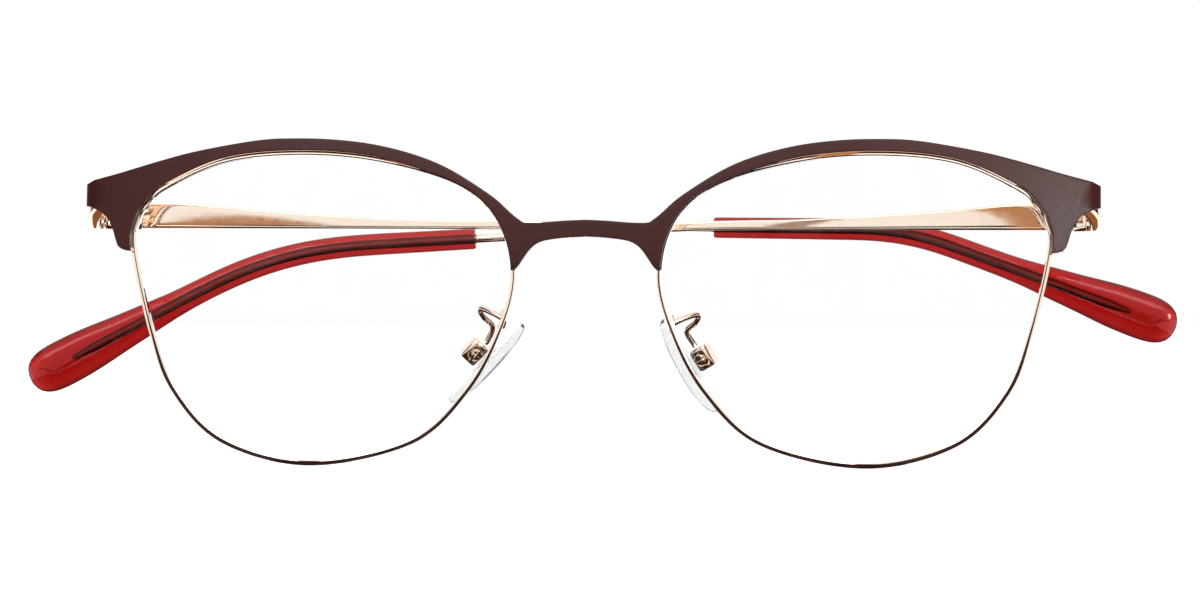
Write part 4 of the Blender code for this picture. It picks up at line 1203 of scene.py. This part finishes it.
class GLASSES_OT_studio(bpy.types.Operator):
    """Set up the floor, the cards, the lamps, the world and the camera"""

    bl_idname = "glasses.studio"
    bl_label = "Studio"

    def execute(self, context):
        scene = context.scene
        studio = scene.studio

        def flat(low_x, low_y, high_x, high_y, z):
            """The corners of a sheet that lies flat, in metres from millimetres."""
            corners = ((low_x, low_y), (high_x, low_y), (high_x, high_y), (low_x, high_y))
            return [(x / 1000, y / 1000, z) for x, y in corners]

        floor = flat(-3000, -3000, 3000, 3000, 0)
        stage_sheet("studio_floor", floor, studio_paper(), card=False)

        # Glowing cards, seen only in reflections, that the polished metal and the tips show as tan and dark shapes
        wall, wall_in_front, ground, aside = -0.2, -0.201, 0.0006, 0.7
        tan, dark = glowing_card("tan_card", "#C08A62"), glowing_card("dark_card", "#3A241C")
        copper = glowing_card("copper_card", "#96603F")
        for name, y, paper, outline in (
            ("card_arch", wall, tan, (
                (-79.5, 5), (-78.5, 16), (-76.3, 32.9), (-72.9, 35.9), (-69.5, 36.8),
                (-66.2, 37.5), (-62.8, 38), (-59.5, 37.9), (-56.1, 37.3), (-52.8, 36.2),
                (-49.5, 34.9), (-46.1, 33.8), (-52.5, 31.5), (-59, 28), (-66, 24), (-73, 14),
            )),
            ("card_deep", wall, tan, (
                (53.5, 90), (54.5, 60), (56.5, 43), (59.2, 38.2), (61.9, 35.5), (63.7, 23),
                (64.2, 0), (76, 0), (76, 150), (53.5, 150),
            )),
            ("card_lean", wall_in_front, glowing_card("pale_card", "#D0A07A"), (
                (49.5, 100), (51.2, 70), (53.5, 48), (56.1, 38.7), (59.4, 35.9), (61.4, 26.8),
                (62, 0), (76, 0), (76, 150), (49.5, 150),
            )),
            ("card_wedge", wall, glowing_card("rosy_card", "#A8897A"), (
                (15.4, 25.8), (17.9, 36.6), (20.4, 38.9), (21.9, 60), (23.9, 110), (29, 60),
                (28.2, 44), (27.5, 37.8), (24.4, 34.7), (20.5, 10.5), (17, 10),
            )),
        ):
            stage_sheet(name, [(x / 1000, y, z / 1000) for x, z in outline], paper)
        for name, paper, reach in (
            ("card_mat", dark, (-57, -150, 57, 40)),
            ("card_mat_left", copper, (57, -150, 100, 40)),
            ("card_mat_right", copper, (-100, -150, -57, 40)),
            ("card_far", dark, (-1500, -2900, 1500, -300)),
        ):
            stage_sheet(name, flat(*reach, ground), paper)
        for side, sign in SIDES.items():
            upright = ((-0.5, 0.02), (0.3, 0.02), (0.3, 0.7), (-0.5, 0.7))
            stage_sheet(f"card_{side}", [(aside * sign, y, z) for y, z in upright], dark)

        scene.world = bpy.data.worlds.new("studio_world")
        scene.world.use_nodes = True
        tree = scene.world.node_tree
        tree.nodes.clear()
        strength = add(tree, "MapRange", {
            "Value": clear_rays(tree), "To Min": studio.sky, "To Max": 1.0,
        })
        sky = add(tree, "Background", {"Color": grey(1.0), "Strength": strength})
        add(tree, "OutputWorld", {"Surface": sky})

        middle = Vector((0, 0, 0.02))
        for name, spot, size, power in (
            ("key_lamp", (0.66, -0.79, 0.18), (0.16, 0.22), studio.key),
            ("top_lamp", (0.0, -0.7, 0.42), (1.0, 0.16), studio.top),
        ):
            lamp = bpy.data.lights.new(name, "AREA")
            lamp.shape = "RECTANGLE"
            lamp.size, lamp.size_y = size
            lamp.energy = power
            stand = placed(name, lamp)
            stand.location = spot
            stand.rotation_euler = (middle - Vector(spot)).to_track_quat("-Z", "Y").to_euler()

        camera = bpy.data.cameras.new("studio_camera")
        camera.sensor_width = 36.0
        camera.lens = 136.8
        camera.shift_x = 0.0117
        camera.clip_start = 0.01
        scene.camera = placed("studio_camera", camera)
        subject = Vector((-0.00087, -0.00973, studio.height))
        back = Vector((math.sin(studio.turn), -math.cos(studio.turn), 0)) * studio.distance
        scene.camera.location = subject + back
        turn = Euler((math.pi / 2, 0, studio.turn)).to_matrix()
        scene.camera.rotation_euler = (turn @ Matrix.Rotation(studio.roll, 3, "Z")).to_euler()
        scene.view_settings.view_transform = "Standard"
        return {"FINISHED"}


OPERATORS = (
    GLASSES_OT_brow_bar, GLASSES_OT_rims, GLASSES_OT_lenses, GLASSES_OT_hardware,
    GLASSES_OT_temples, GLASSES_OT_tips, GLASSES_OT_pad_arms, GLASSES_OT_nose_pads,
    GLASSES_OT_studio,
)
SETTINGS = {
    "front_sizes": FrontSizes, "temple_sizes": TempleSizes, "pad_sizes": PadSizes,
    "finishes": Finishes, "studio": Studio,
}


class GLASSES_PT_build(bpy.types.Panel):
    """Builds the glasses piece by piece"""

    bl_label = "Cat-Eye Eyeglasses"
    bl_space_type = "VIEW_3D"
    bl_region_type = "UI"
    bl_category = "Eyeglasses"

    def draw(self, context):
        layout = self.layout
        for name, group in SETTINGS.items():
            box = layout.box()
            box.label(text=group.__doc__)
            for key in group.__annotations__:
                box.prop(getattr(context.scene, name), key)
        for operator in OPERATORS:
            layout.operator(operator.bl_idname)


def register():
    """Make the settings, the operators and the panel known to Blender."""
    for name, group in SETTINGS.items():
        bpy.utils.register_class(group)
        setattr(bpy.types.Scene, name, PointerProperty(type=group))
    for operator in OPERATORS:
        bpy.utils.register_class(operator)
    bpy.utils.register_class(GLASSES_PT_build)


def unregister():
    """Take them out again."""
    bpy.utils.unregister_class(GLASSES_PT_build)
    for operator in reversed(OPERATORS):
        bpy.utils.unregister_class(operator)
    for name, group in SETTINGS.items():
        delattr(bpy.types.Scene, name)
        bpy.utils.unregister_class(group)


def main():
    """Build the glasses and their studio."""
    register()
    bpy.ops.glasses.brow_bar()
    bpy.ops.glasses.rims()
    bpy.ops.glasses.lenses()
    bpy.ops.glasses.hardware()
    bpy.ops.glasses.temples()
    bpy.ops.glasses.tips()
    bpy.ops.glasses.pad_arms()
    bpy.ops.glasses.nose_pads()
    bpy.ops.glasses.studio()


if __name__ == "__main__":
    main()
